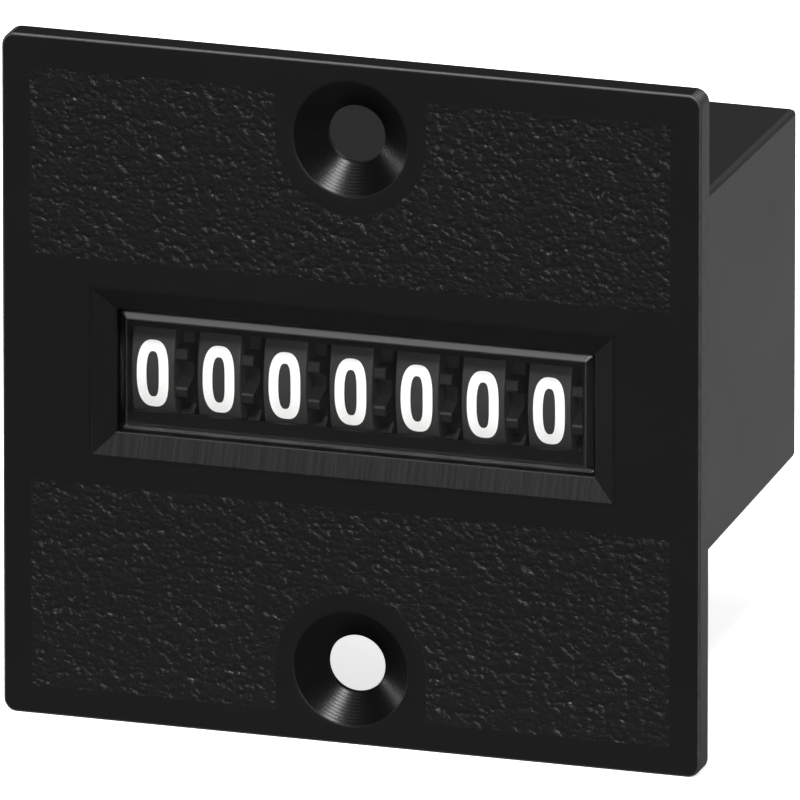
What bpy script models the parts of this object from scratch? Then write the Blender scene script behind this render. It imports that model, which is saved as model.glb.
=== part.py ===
# Panel-mount row counter: a magnet-driven drum of seven number wheels in a black
# moulded housing. X runs to the right, Y into the panel and Z up. The origin is the
# middle of the front plate's back face, where the plate meets the panel.
# Sizes are in millimetres and degrees; the helpers turn them into metres and radians.

import math

import bmesh
import bpy
from mathutils import Matrix

MM = 0.001
SHARP_ANGLE = 25.0      # degrees past which an edge is drawn sharp

# ---- Fits ----
SEAT_GAP = 0.1          # between pieces that rest on each other
RUNNING_FIT = 0.05      # round a pin, shaft or screw, on the radius

# ---- Front plate and window ----
PLATE_WIDTH = 52.8
PLATE_HEIGHT = 51.4
PLATE_THICKNESS = 2.0
PLATE_CORNER_RADIUS = 1.0
PLATE_EDGE_BEVEL = 0.2
HOLE_SPACING = 40.0
HOLE_DIAMETER = 4.3     # clearance for M4
COUNTERSINK_DIAMETER = 8.7
COUNTERSINK_DEPTH = 1.5
WINDOW_X = 0.1
WINDOW_Z = 0.7
WINDOW_HEIGHT = 9.25
WINDOW_SIDE_MARGIN = 1.1
BEZEL_RUN = 1.65
BEZEL_DEPTH = 0.85
PANE_INSET = 0.05
PANE_SIDE_GAP = 0.15
PANE_EDGE_BEVEL = 0.3
PANE_FLANGE_WIDTH = 1.0
PANE_FLANGE_THICKNESS = 0.4
MASK_THICKNESS = 0.4
MASK_RIM = 0.45
SLOT_HEIGHT = 6.4
SLOT_RISE = 0.5
SLOT_MARGIN = 0.45

# ---- Number wheels and transfer pinions ----
WHEEL_NAMES = ("millions", "hundred_thousands", "ten_thousands", "thousands",
               "hundreds", "tens", "units")
DRUM_Z = -0.1
MASK_TO_WHEEL_GAP = 0.3
WHEEL_PITCH = 5.0
WHEEL_RADIUS = 9.5
WHEEL_WIDTH = 3.25
WHEEL_SEGMENTS = 40
GEAR_TEETH = 20         # two teeth for each digit
GEAR_WIDTH = 0.9
GEAR_SETBACK = 1.0      # wheel radius less pitch radius
PINION_TEETH = 8
PINION_SIDE_GAP = 0.15
ADDENDUM = 0.8          # in modules
DEDENDUM = 1.1          # in modules
ROOT_SHARE = 0.58       # tooth thickness over tooth pitch, at the root and the tip
TIP_SHARE = 0.24
MESH_ANGLE = -36.0      # of the pinion shaft about the drum, from +Y towards +Z
FIRST_TOOTH = 180.0 / GEAR_TEETH    # puts a gap between teeth level with the digit shown
CARRY_TEETH = (GEAR_TEETH - 4, GEAR_TEETH - 3)    # just past the pinion when 0 shows
CARRY_GAP = 0.2
CARRY_DEPTH = 0.45
PINION_STEP_GAP = 0.1   # past the gear rim, where each second tooth ends
JOINT_LAP = 0.3         # how far the parts of a wheel run into each other
NUMBER_SHAFT_RADIUS = 1.5
PINION_SHAFT_RADIUS = 0.8
GROOVE_DEPTH = 0.35
CLIP_RADIUS = 2.6
CLIP_THICKNESS = 0.5
SHAFT_END = 1.0         # how far the number shaft stands out of the frames
PIN_END = 0.2           # the same for the plain pins

# ---- Ratchet and verge ----
RATCHET_TEETH = 10
RATCHET_SETBACK = 2.0   # wheel radius less ratchet radius
RATCHET_DEPTH = 1.3
RATCHET_WIDTH = 0.8
RATCHET_GAP = 0.125
FRAME_PLAY_LEFT = 0.325
FRAME_PLAY_RIGHT = 0.6
PALLET_SPREAD = 45.0    # each pallet from the line of centres: two and a half teeth
PALLET_GAP = 0.1        # left to the ratchet's tips by the pallet that is down
PALLET_LENGTH = 0.7     # of the shorter pallet
VERGE_BAND = 1.6
VERGE_SLEEVE_GAP = 0.2
VERGE_NECK = 2.2
VERGE_HUB_RADIUS = 1.6
PIVOT_ANGLE = 40.0
PIVOT_DISTANCE_IN_RATCHETS = 2.0
ARMATURE_TRAVEL = 4.0
ARMATURE_PIN_RADIUS = 0.75

# ---- Frames ----
FRAME_THICKNESS = 0.8
FRAME_HEADROOM = 0.6
FRAME_CORNER = 2.0
EAR_LENGTH = 4.0
EAR_HEIGHT = 3.0
EAR_SCREW_INSET = 2.0
BOSS_RADIUS = 1.7
BOSS_HOLE_GAP = 0.15
BACKSTOP_LAP = 1.05     # how far it reaches over the armature
BACKSTOP_DEPTH = 2.5
BACKSTOP_GAP = 0.1

# ---- Magnet ----
COIL_FLANGE = 5.4       # half the side of the square bobbin flange
COIL_LENGTH = 21.6
COIL_FRONT_GAP = 2.3
FLANGE_THICKNESS = 0.9
BOBBIN_WALL = 0.6
WINDING_RADIUS = 5.0
CORE_RADIUS = 2.5
CORE_SHOULDER = 0.7
POLE_THICKNESS = 1.2
POLE_DEPTH = 6.0
POLE_FOOT = 4.4
FOOT_TO_FRAME = 0.3
COIL_TO_FOOT = 0.3
ARMATURE_THICKNESS = 1.0
ARMATURE_DROP = 0.84    # from the pivot down to the armature's underside
ARMATURE_OVERHANG = 0.4
RESIDUAL_GAP = 0.1      # left between armature and poles, so that it lets go
FLANGE_TO_POLE_TOP = 0.5
EAR_THICKNESS = 1.0
ARMATURE_HUB_RADIUS = 1.5
SPRING_WIRE = 0.4
SPRING_TURNS = 4
SPRING_RADIUS = 1.35
CROSSBAR_HEIGHT = 4.0
CROSSBAR_DEPTH = 6.0
CROSSBAR_SETBACK = 0.6  # behind the coil's middle

# ---- Housing and terminals ----
WALL = 1.5
REAR_WALL = 1.8
DRAFT = 1.0
BODY_CORNER = 0.4
SIDE_ROOM = 2.2
HEADROOM = 1.23
REAR_ROOM = 1.1
HOUSING_GAP = 0.2
COLLAR_CLEARANCE = 0.15
COLLAR_WALL = 1.0
COLLAR_LENGTH = 3.0
BOARD_HEIGHT = 7.2
BOARD_THICKNESS = 1.3
BOARD_POCKET = 0.8
BOARD_EDGE_GAP = 0.15
BOARD_SCREW_X = 9.0
BOARD_BOSS_GAP = 0.2    # from its boss inside to the coil's bobbin
BOARD_END = 3.1         # from a blade's middle to the board's end
BLADE_X = 15.5
BLADE_Z_FROM_COIL = 2.3
BLADE_WIDTH = 2.8
BLADE_THICKNESS = 0.5
BLADE_LENGTH = 6.4
BLADE_HOLE_RADIUS = 0.6
BLADE_HOLE_FROM_TIP = 2.4
BLADE_POINT = 1.0
TAIL_LENGTH = 2.6
WIRE_RADIUS = 0.3
HOUSING_SCREW_X = 11.0
HOUSING_BOSS_RADIUS = 2.6
COUNTERBORE_DEPTH = 1.0
COUNTERBORE_GAP = 0.2

# ---- Screws: thread radius, head radius, head height, length under the head ----
M2_SHORT = (0.8, 1.6, 0.9, 2.7)
M2_LONG = (0.8, 1.6, 0.9, 3.6)
M2_5_REAR = (1.0, 2.0, 0.9, 5.4)
SCREW_HOLE_GAP = 0.05
SCREW_TIP_ROOM = 0.2    # of a blind hole past its screw
ROOT_LAP = 0.5          # how far a boss, collar or step runs into what it stands on
CUT_PAST = 1.0          # how far a cutter runs past what it cuts

# ---- What follows from them ----
bezel_floor = -PLATE_THICKNESS + BEZEL_DEPTH
pane_front = bezel_floor + PANE_INSET
pane_rear = SEAT_GAP + PANE_FLANGE_THICKNESS
mask_front = pane_rear + SEAT_GAP
mask_rear = mask_front + MASK_THICKNESS
window_width = len(WHEEL_NAMES) * WHEEL_PITCH + WINDOW_SIDE_MARGIN

drum_y = mask_rear + MASK_TO_WHEEL_GAP + WHEEL_RADIUS
drum_z = DRUM_Z
right_stack = GEAR_WIDTH + RATCHET_GAP + RATCHET_WIDTH + FRAME_PLAY_RIGHT
drum_x = -(right_stack - FRAME_PLAY_LEFT) / 2
half_row = (len(WHEEL_NAMES) - 1) / 2 * WHEEL_PITCH
half_coil = COIL_LENGTH / 2
pole_inner = half_coil + SEAT_GAP
pole_outer = pole_inner + POLE_THICKNESS
foot_screw_x = pole_outer + POLE_FOOT / 2
frame_inner = max(half_row + WHEEL_WIDTH / 2 + (right_stack + FRAME_PLAY_LEFT) / 2,
                  pole_outer + POLE_FOOT + FOOT_TO_FRAME)
frame_outer = frame_inner + FRAME_THICKNESS
gear_radius = WHEEL_RADIUS - GEAR_SETBACK
module = 2 * gear_radius / GEAR_TEETH
pinion_radius = module * PINION_TEETH / 2
pinion_tip = pinion_radius + ADDENDUM * module
ratchet_radius = WHEEL_RADIUS - RATCHET_SETBACK
ratchet_left = half_row + drum_x + WHEEL_WIDTH / 2 + GEAR_WIDTH + RATCHET_GAP


def polar(radius, angle, y=0.0, z=0.0):
    """A point in the Y-Z plane, at an angle measured from +Y towards +Z."""
    return (y + radius * math.cos(math.radians(angle)),
            z + radius * math.sin(math.radians(angle)))


pinion_y, pinion_z = polar(gear_radius + pinion_radius, MESH_ANGLE, drum_y, drum_z)
pivot_y, pivot_z = polar(PIVOT_DISTANCE_IN_RATCHETS * ratchet_radius, PIVOT_ANGLE, drum_y, drum_z)

pole_top = pivot_z - ARMATURE_DROP - RESIDUAL_GAP
coil_z = pole_top - FLANGE_TO_POLE_TOP - COIL_FLANGE
coil_bottom = coil_z - COIL_FLANGE
reach = pinion_tip + SEAT_GAP
under = max(0.0, coil_bottom - pinion_z)
past_pinion = pinion_y + math.sqrt(max(0.0, reach ** 2 - under ** 2))
coil_y = max(drum_y + WHEEL_RADIUS + COIL_FRONT_GAP, past_pinion) + COIL_FLANGE
foot_top = coil_bottom - COIL_TO_FOOT
crossbar_top = foot_top - POLE_THICKNESS - SEAT_GAP
crossbar_z = crossbar_top - CROSSBAR_HEIGHT / 2
crossbar_y = coil_y + CROSSBAR_SETBACK
crossbar_rear = crossbar_y + CROSSBAR_DEPTH / 2

travel = math.radians(ARMATURE_TRAVEL)
armature_rear = coil_y + POLE_DEPTH / 2 + ARMATURE_OVERHANG
backstop_y = armature_rear - BACKSTOP_DEPTH / 2
backstop_z = (pivot_z + (armature_rear - pivot_y) * math.sin(travel)
              + (ARMATURE_THICKNESS - ARMATURE_DROP) * math.cos(travel) + BACKSTOP_GAP)

rear_inner = coil_y + COIL_FLANGE + REAR_ROOM
body_rear = rear_inner + REAR_WALL
inner_half_width = frame_outer + SIDE_ROOM
inner_half_height = max(pinion_tip - pinion_z, pivot_z + VERGE_HUB_RADIUS) + HEADROOM
slope = math.tan(math.radians(DRAFT))
frame_rear = coil_y + COIL_FLANGE
frame_half_height = inner_half_height - frame_rear * slope - FRAME_HEADROOM
collar_half_width = inner_half_width - COLLAR_CLEARANCE
collar_half_height = inner_half_height - COLLAR_CLEARANCE
mask_half_width = collar_half_width - COLLAR_WALL - COLLAR_CLEARANCE
mask_half_height = collar_half_height - COLLAR_WALL - COLLAR_CLEARANCE
boss_x = frame_inner - EAR_SCREW_INSET
boss_z = mask_half_height - MASK_RIM - BOSS_RADIUS - BOSS_HOLE_GAP
ear_front = mask_rear + SEAT_GAP
ear_rear = ear_front + FRAME_THICKNESS
blade_z = coil_z + BLADE_Z_FROM_COIL
board_front = body_rear - BOARD_POCKET + SEAT_GAP
board_rear = board_front + BOARD_THICKNESS
board_half_width = BLADE_X + BOARD_END


# ---- Scene, collections and materials ----

for old in list(bpy.data.objects):
    bpy.data.objects.remove(old)

counter = bpy.data.collections.new("row_counter")
cutters = bpy.data.collections.new("cutters")
bpy.context.scene.collection.children.link(counter)
bpy.context.scene.collection.children.link(cutters)


def material(name, colour, roughness, metallic=0.0, alpha=1.0):
    made = bpy.data.materials.new(name)
    made.use_nodes = True
    shader = made.node_tree.nodes["Principled BSDF"]
    shader.inputs["Base Color"].default_value = (*colour, 1.0)
    shader.inputs["Roughness"].default_value = roughness
    shader.inputs["Metallic"].default_value = metallic
    shader.inputs["Alpha"].default_value = alpha
    return made


black_plastic = material("black_plastic", (0.012, 0.012, 0.012), 0.45)
wheel_plastic = material("wheel_plastic", (0.035, 0.035, 0.035), 0.5)
clear_plastic = material("clear_plastic", (0.9, 0.9, 0.9), 0.05, alpha=0.2)
white_plastic = material("white_plastic", (0.75, 0.74, 0.68), 0.4)
brown_laminate = material("brown_laminate", (0.16, 0.07, 0.025), 0.5)
zinc_steel = material("zinc_steel", (0.6, 0.6, 0.58), 0.35, metallic=1.0)
soft_iron = material("soft_iron", (0.35, 0.34, 0.33), 0.4, metallic=1.0)
bright_steel = material("bright_steel", (0.7, 0.7, 0.7), 0.25, metallic=1.0)
brass = material("brass", (0.75, 0.55, 0.25), 0.3, metallic=1.0)
copper = material("copper", (0.75, 0.3, 0.15), 0.35, metallic=1.0)
red_pvc = material("red_pvc", (0.45, 0.02, 0.02), 0.5)


# ---- Helpers ----

# Local X, Y and Z of a piece laid out flat, turned to the way it faces.
FACES_X = (90.0, 0.0, 90.0)      # local X, Y, Z become world Y, Z, X
FACES_FRONT = (90.0, 0.0, 0.0)   # local X, Y, Z become world X, Z, -Y
HEAD_TO = {"right": (0.0, 90.0, 0.0), "left": (0.0, -90.0, 0.0),
           "rear": (-90.0, 0.0, 0.0), "up": (0.0, 0.0, 0.0)}


def place(obj, at=(0.0, 0.0, 0.0), turn=(0.0, 0.0, 0.0)):
    obj.location = [value * MM for value in at]
    obj.rotation_euler = [math.radians(value) for value in turn]
    return obj


def keep(obj, finish):
    """Puts a finished piece in the counter's collection, with its material."""
    counter.objects.link(obj)
    obj.data.materials.clear()
    obj.data.materials.append(finish)
    if obj.type == "MESH":
        obj.data.shade_smooth()
        obj.data.set_sharp_from_angle(angle=math.radians(SHARP_ANGLE))
    return obj


def tool(obj):
    """Puts a shape that only cuts or joins another in the cutters' collection."""
    cutters.objects.link(obj)
    obj.hide_render = True
    obj.display_type = "WIRE"
    return obj


def box(name, x, y, z, bevel=0.0):
    """A block between two values on each axis."""
    mesh = bpy.data.meshes.new(name)
    bm = bmesh.new()
    size = [(high - low) * MM for low, high in (x, y, z)]
    bmesh.ops.create_cube(bm, size=1.0, matrix=Matrix.Diagonal((*size, 1.0)))
    if bevel:
        bmesh.ops.bevel(bm, geom=bm.edges[:], offset=bevel * MM, segments=2,
                        profile=0.5, affect="EDGES")
    bm.to_mesh(mesh)
    bm.free()
    return place(bpy.data.objects.new(name, mesh), [(low + high) / 2 for low, high in (x, y, z)])


def rod(name, radius, length, at, turn, segments=16, end_radius=None):
    """A cylinder about its own Z, or a cone when its far end has another radius."""
    mesh = bpy.data.meshes.new(name)
    bm = bmesh.new()
    far = radius if end_radius is None else end_radius
    bmesh.ops.create_cone(bm, cap_ends=True, segments=segments, radius1=radius * MM,
                          radius2=far * MM, depth=length * MM)
    bm.to_mesh(mesh)
    bm.free()
    return place(bpy.data.objects.new(name, mesh), at, turn)


def tapered_box(name, front, rear, front_y, rear_y, bevel=0.0, front_centre=(0.0, 0.0)):
    """A block whose front and rear rectangles differ: (half width, half height) each."""
    mesh = bpy.data.meshes.new(name)
    bm = bmesh.new()
    bmesh.ops.create_cube(bm, size=2.0)
    for vert in bm.verts:
        half = front if vert.co.y < 0 else rear
        vert.co.x = (front_centre[0] + math.copysign(half[0], vert.co.x)) * MM
        vert.co.z = (front_centre[1] + math.copysign(half[1], vert.co.z)) * MM
        vert.co.y = (front_y if vert.co.y < 0 else rear_y) * MM
    if bevel:
        edges = [edge for edge in bm.edges
                 if not all(math.isclose(vert.co.y, front_y * MM) for vert in edge.verts)]
        bmesh.ops.bevel(bm, geom=edges, offset=bevel * MM, segments=2, profile=0.5,
                        affect="EDGES")
    bm.to_mesh(mesh)
    bm.free()
    return bpy.data.objects.new(name, mesh)


def turned(name, profile, at, turn, segments=16):
    """A closed (radius, height) profile, outer side downwards, swept about its own Z."""
    mesh = bpy.data.meshes.new(name)
    bm = bmesh.new()
    points = [bm.verts.new((radius * MM, 0.0, height * MM)) for radius, height in profile]
    for start, end in zip(points, points[1:] + points[:1]):
        bm.edges.new((start, end))
    bm.to_mesh(mesh)
    bm.free()
    obj = place(bpy.data.objects.new(name, mesh), at, turn)
    screw = obj.modifiers.new("turn", "SCREW")
    screw.axis = "Z"
    screw.angle = math.tau
    screw.steps = segments
    screw.render_steps = segments
    screw.use_merge_vertices = True
    screw.merge_threshold = 1e-6
    return obj


def flat(name, outlines, thickness, at, turn):
    """A plate cut to closed outlines, the first outside and the others holes in it."""
    curve = bpy.data.curves.new(name, "CURVE")
    curve.dimensions = "2D"
    curve.fill_mode = "BOTH"
    curve.extrude = thickness / 2 * MM
    for outline in outlines:
        spline = curve.splines.new("POLY")
        spline.points.add(len(outline) - 1)
        for point, (u, v) in zip(spline.points, outline):
            point.co = (u * MM, v * MM, 0.0, 1.0)
        spline.use_cyclic_u = True
    return solid(place(bpy.data.objects.new(name, curve), at, turn))


def solid(obj):
    """A mesh of what an object's curve or modifiers make, with its caps welded."""
    cutters.objects.link(obj)
    bpy.context.view_layer.update()
    depsgraph = bpy.context.evaluated_depsgraph_get()
    mesh = bpy.data.meshes.new_from_object(obj.evaluated_get(depsgraph))
    bm = bmesh.new()
    bm.from_mesh(mesh)
    bmesh.ops.remove_doubles(bm, verts=bm.verts[:], dist=1e-7)
    bm.to_mesh(mesh)
    bm.free()
    made = bpy.data.objects.new(obj.name, mesh)
    made.matrix_world = obj.matrix_world
    name = obj.name
    bpy.data.objects.remove(obj)
    made.name = name
    return made


def shape(obj):
    """The finished mesh of an object in the frame it stands in, for its copies to share."""
    made = solid(obj)
    made.data.transform(made.matrix_world)
    return made.data


def combine(target, operation, others):
    for other in others:
        step = target.modifiers.new(operation.lower(), "BOOLEAN")
        step.operation = operation
        step.object = tool(other)
    return target


def cut(target, *others):
    return combine(target, "DIFFERENCE", others)


def join(target, *others):
    return combine(target, "UNION", others)


def circle(radius, y=0.0, z=0.0, segments=16):
    return [polar(radius, 360.0 * step / segments, y, z) for step in range(segments)]


def arc(radius, start, end, steps, y=0.0, z=0.0):
    return [polar(radius, start + (end - start) * step / steps, y, z) for step in range(steps + 1)]


def rectangle(half_width, half_height, x=0.0, z=0.0):
    return [(x - half_width, z - half_height), (x + half_width, z - half_height),
            (x + half_width, z + half_height), (x - half_width, z + half_height)]


def half_size_at(y, extra=0.0):
    """Half the width and height of the housing's inside at a depth, plus a wall."""
    return (inner_half_width + extra - y * slope, inner_half_height + extra - y * slope)


def toothed(teeth, root, tip, first_tooth, present=None):
    """The outline of a gear; a tooth that isn't present leaves the root circle plain."""
    pitch = 360.0 / teeth
    outline = []
    for tooth in range(teeth):
        middle = first_tooth + tooth * pitch
        if present is not None and tooth not in present:
            outline.append(polar(root, middle))
            continue
        outline.append(polar(root, middle - ROOT_SHARE / 2 * pitch))
        outline.append(polar(tip, middle - TIP_SHARE / 2 * pitch))
        outline.append(polar(tip, middle + TIP_SHARE / 2 * pitch))
        outline.append(polar(root, middle + ROOT_SHARE / 2 * pitch))
    return outline


def screw_mesh(name, size):
    """A slotted pan-head screw, its head's underside at the origin and its head up."""
    thread, head, head_height, length = size
    profile = [(0.0, head_height), (head * 0.75, head_height), (head, head_height * 0.5),
               (head, 0.0), (thread, 0.0), (thread, -length), (0.0, -length)]
    blank = turned(name, profile, (0, 0, 0), (0, 0, 0), segments=10)
    slot = box(name + "_slot", (-head * 1.2, head * 1.2), (-0.2, 0.2),
               (head_height * 0.5, head_height * 1.5))
    return shape(cut(blank, slot))


def screw(name, mesh, at, head_to, finish):
    return keep(place(bpy.data.objects.new(name, mesh), at, HEAD_TO[head_to]), finish)


# ---- Front plate, pane and mask ----

def front_plate():
    half_width, half_height = PLATE_WIDTH / 2, PLATE_HEIGHT / 2
    mesh = bpy.data.meshes.new("front_plate")
    bm = bmesh.new()
    bmesh.ops.create_cube(bm, size=1.0, matrix=Matrix.Diagonal(
        (PLATE_WIDTH * MM, PLATE_THICKNESS * MM, PLATE_HEIGHT * MM, 1.0)))
    corners = [edge for edge in bm.edges
               if abs(edge.verts[0].co.y - edge.verts[1].co.y) > PLATE_THICKNESS * MM / 2]
    bmesh.ops.bevel(bm, geom=corners, offset=PLATE_CORNER_RADIUS * MM, segments=4,
                    profile=0.5, affect="EDGES")
    rim = [edge for edge in bm.edges if all(vert.co.y < 0 for vert in edge.verts)]
    bmesh.ops.bevel(bm, geom=rim, offset=PLATE_EDGE_BEVEL * MM, segments=1, profile=0.5,
                    affect="EDGES")
    bm.to_mesh(mesh)
    bm.free()
    plate = place(bpy.data.objects.new("front_plate", mesh), (0, -PLATE_THICKNESS / 2, 0))

    inside = rectangle(collar_half_width - COLLAR_WALL, collar_half_height - COLLAR_WALL)
    step = HOUSING_GAP - SEAT_GAP
    join(plate,
         flat("collar", [rectangle(collar_half_width, collar_half_height), inside],
              COLLAR_LENGTH + ROOT_LAP, (0, (COLLAR_LENGTH - ROOT_LAP) / 2, 0), FACES_FRONT),
         flat("housing_step", [rectangle(*half_size_at(0.0, WALL)), inside],
              step + ROOT_LAP, (0, (step - ROOT_LAP) / 2, 0), FACES_FRONT))
    for x in (-boss_x, boss_x):
        for z in (-boss_z, boss_z):
            join(plate, rod("boss", BOSS_RADIUS, mask_rear + ROOT_LAP,
                            (x, (mask_rear - ROOT_LAP) / 2, z), HEAD_TO["rear"]))
            depth = M2_SHORT[3] - FRAME_THICKNESS + SCREW_TIP_ROOM
            cut(plate, rod("boss_hole", M2_SHORT[0] + SCREW_HOLE_GAP, depth + CUT_PAST,
                           (x, mask_rear + (CUT_PAST - depth) / 2, z), HEAD_TO["rear"],
                           segments=12))

    opening = (window_width / 2, WINDOW_HEIGHT / 2)
    flare = BEZEL_RUN / BEZEL_DEPTH
    past = 0.2          # how far the cutter starts in front of the plate
    mouth = (opening[0] + BEZEL_RUN + past * flare, opening[1] + BEZEL_RUN + past * flare)
    centre = (WINDOW_X, WINDOW_Z)
    cut(plate,
        tapered_box("bezel", mouth, opening, -PLATE_THICKNESS - past, bezel_floor,
                    front_centre=centre),
        tapered_box("opening", opening, opening, bezel_floor - 0.1, 1.0, front_centre=centre))

    countersink = COUNTERSINK_DIAMETER / 2
    hole = HOLE_DIAMETER / 2
    grow = (countersink - hole) / COUNTERSINK_DEPTH
    for z in (-HOLE_SPACING / 2, HOLE_SPACING / 2):
        cut(plate,
            rod("screw_hole", hole, PLATE_THICKNESS + 1.0, (0, -PLATE_THICKNESS / 2, z),
                HEAD_TO["rear"], segments=24),
            rod("countersink", countersink + past * grow, COUNTERSINK_DEPTH + past,
                (0, -PLATE_THICKNESS - past + (COUNTERSINK_DEPTH + past) / 2, z),
                HEAD_TO["rear"], segments=24, end_radius=hole))
    return keep(plate, black_plastic)


def window_pane():
    half_width = window_width / 2 - PANE_SIDE_GAP
    half_height = WINDOW_HEIGHT / 2 - PANE_SIDE_GAP
    bevel = PANE_EDGE_BEVEL
    centre = (WINDOW_X, WINDOW_Z)
    pane = tapered_box("window_pane", (half_width, half_height), (half_width, half_height),
                       pane_front + bevel, pane_rear, front_centre=centre)
    join(pane,
         tapered_box("pane_edge", (half_width - bevel, half_height - bevel),
                     (half_width + 0.02, half_height + 0.02), pane_front,
                     pane_front + bevel * 1.02, front_centre=centre),
         tapered_box("pane_flange",
                     (half_width + PANE_FLANGE_WIDTH, half_height + PANE_FLANGE_WIDTH),
                     (half_width + PANE_FLANGE_WIDTH, half_height + PANE_FLANGE_WIDTH),
                     SEAT_GAP, pane_rear, front_centre=centre))
    return keep(pane, clear_plastic)


def digit_mask():
    wheels_left = drum_x - half_row - WHEEL_WIDTH / 2
    wheels_right = drum_x + half_row + WHEEL_WIDTH / 2 + GEAR_WIDTH
    outlines = [rectangle(mask_half_width, mask_half_height),
                rectangle((wheels_right - wheels_left + SLOT_MARGIN) / 2, SLOT_HEIGHT / 2,
                          (wheels_left + wheels_right) / 2, drum_z + SLOT_RISE)]
    for x in (-boss_x, boss_x):
        for z in (-boss_z, boss_z):
            outlines.append(circle(BOSS_RADIUS + BOSS_HOLE_GAP, x, z))
    return keep(flat("digit_mask", outlines, MASK_THICKNESS,
                     (0, mask_front + MASK_THICKNESS / 2, 0), FACES_FRONT), black_plastic)


# ---- Drum: number wheels, pinions, ratchet and shafts ----

def wheel_x(index):
    return drum_x - half_row + index * WHEEL_PITCH


def slab(name, outline, left, right):
    """An outline in the Y-Z plane, about the X axis, between two values of X."""
    return flat(name, [outline], right - left, ((left + right) / 2, 0, 0), FACES_X)


def wheel_mesh(name, carries):
    """One number wheel about the X axis; one that carries has a locking disc with two teeth."""
    half = WHEEL_WIDTH / 2
    wheel = slab(name, circle(WHEEL_RADIUS, segments=WHEEL_SEGMENTS), -half, half)
    gear = toothed(GEAR_TEETH, gear_radius - DEDENDUM * module,
                   gear_radius + ADDENDUM * module, FIRST_TOOTH)
    join(wheel, slab(name + "_gear", gear, half - JOINT_LAP, half + GEAR_WIDTH))
    if carries:
        gap = WHEEL_PITCH - WHEEL_WIDTH - GEAR_WIDTH
        tip = gear_radius + pinion_radius - pinion_tip - SEAT_GAP
        disc = toothed(GEAR_TEETH, tip - CARRY_DEPTH, tip, FIRST_TOOTH, CARRY_TEETH)
        join(wheel, slab(name + "_carry", disc, -half - gap + CARRY_GAP, -half + JOINT_LAP))
    cut(wheel, rod(name + "_bore", NUMBER_SHAFT_RADIUS + RUNNING_FIT, WHEEL_PITCH * 3,
                   (0, 0, 0), FACES_X))
    return shape(wheel)


def number_wheels():
    top_wheel = wheel_mesh("top_wheel", carries=False)
    carry_wheel = wheel_mesh("carry_wheel", carries=True)
    for index, name in enumerate(WHEEL_NAMES):
        mesh = top_wheel if index == 0 else carry_wheel
        wheel = bpy.data.objects.new("wheel_" + name, mesh)
        keep(place(wheel, (wheel_x(index), drum_y, drum_z)), wheel_plastic)


def pinion_mesh():
    """Eight teeth beside the gear rim, each second one cut back beside the locking disc."""
    start = WHEEL_WIDTH / 2 + PINION_SIDE_GAP
    middle = WHEEL_WIDTH / 2 + GEAR_WIDTH + PINION_STEP_GAP
    end = WHEEL_PITCH - WHEEL_WIDTH / 2 - PINION_SIDE_GAP
    root = pinion_radius - DEDENDUM * module
    facing_drum = MESH_ANGLE + 180.0
    full = toothed(PINION_TEETH, root, pinion_tip, facing_drum)
    halved = toothed(PINION_TEETH, root, pinion_tip, facing_drum, range(0, PINION_TEETH, 2))
    pinion = slab("pinion", full, start, middle)
    join(pinion, slab("pinion_half", halved, start, end))
    cut(pinion, rod("pinion_bore", PINION_SHAFT_RADIUS + RUNNING_FIT, WHEEL_PITCH * 3,
                    (0, 0, 0), FACES_X, segments=12))
    return shape(pinion)


def transfer_pinions():
    mesh = pinion_mesh()
    for index, name in enumerate(WHEEL_NAMES[:-1]):
        pinion = bpy.data.objects.new("pinion_" + name, mesh)
        keep(place(pinion, (wheel_x(index), pinion_y, pinion_z)), white_plastic)


def ratchet_wheel():
    pitch = 360.0 / RATCHET_TEETH
    outline = []
    for tooth in range(RATCHET_TEETH):
        middle = PIVOT_ANGLE - PALLET_SPREAD + tooth * pitch
        outline.append(polar(ratchet_radius, middle))
        outline.append(polar(ratchet_radius, middle + pitch * 0.1))
        outline.append(polar(ratchet_radius - RATCHET_DEPTH, middle + pitch * 0.35))
        outline.append(polar(ratchet_radius - RATCHET_DEPTH, middle + pitch * 0.8))
    ratchet = flat("ratchet_wheel", [outline, circle(NUMBER_SHAFT_RADIUS + RUNNING_FIT)],
                   RATCHET_WIDTH, (ratchet_left + RATCHET_WIDTH / 2, drum_y, drum_z), FACES_X)
    return keep(ratchet, white_plastic)


def shafts():
    end = frame_outer + SHAFT_END
    groove = frame_outer + SEAT_GAP
    inner, outer = NUMBER_SHAFT_RADIUS - GROOVE_DEPTH, NUMBER_SHAFT_RADIUS
    half_profile = [(outer, groove), (inner, groove), (inner, groove + CLIP_THICKNESS + 0.1),
                    (outer, groove + CLIP_THICKNESS + 0.1), (outer, end), (0.0, end)]
    profile = list(reversed(half_profile)) + [(r, -h) for r, h in half_profile]
    keep(turned("number_shaft", profile, (0, drum_y, drum_z), FACES_X), bright_steel)
    keep(rod("pinion_shaft", PINION_SHAFT_RADIUS, 2 * (frame_outer + PIN_END),
             (0, pinion_y, pinion_z), FACES_X, segments=12), bright_steel)
    mouth = 25.0
    outline = (arc(CLIP_RADIUS, 90 + mouth, 450 - mouth, 18)
               + arc(inner + RUNNING_FIT, 450 - mouth * 2, 90 + mouth * 2, 12))
    for side, name in ((-1, "shaft_clip_left"), (1, "shaft_clip_right")):
        x = side * (groove + 0.05 + CLIP_THICKNESS / 2)
        keep(flat(name, [outline], CLIP_THICKNESS, (x, drum_y, drum_z), FACES_X), bright_steel)


# ---- Frames ----

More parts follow.
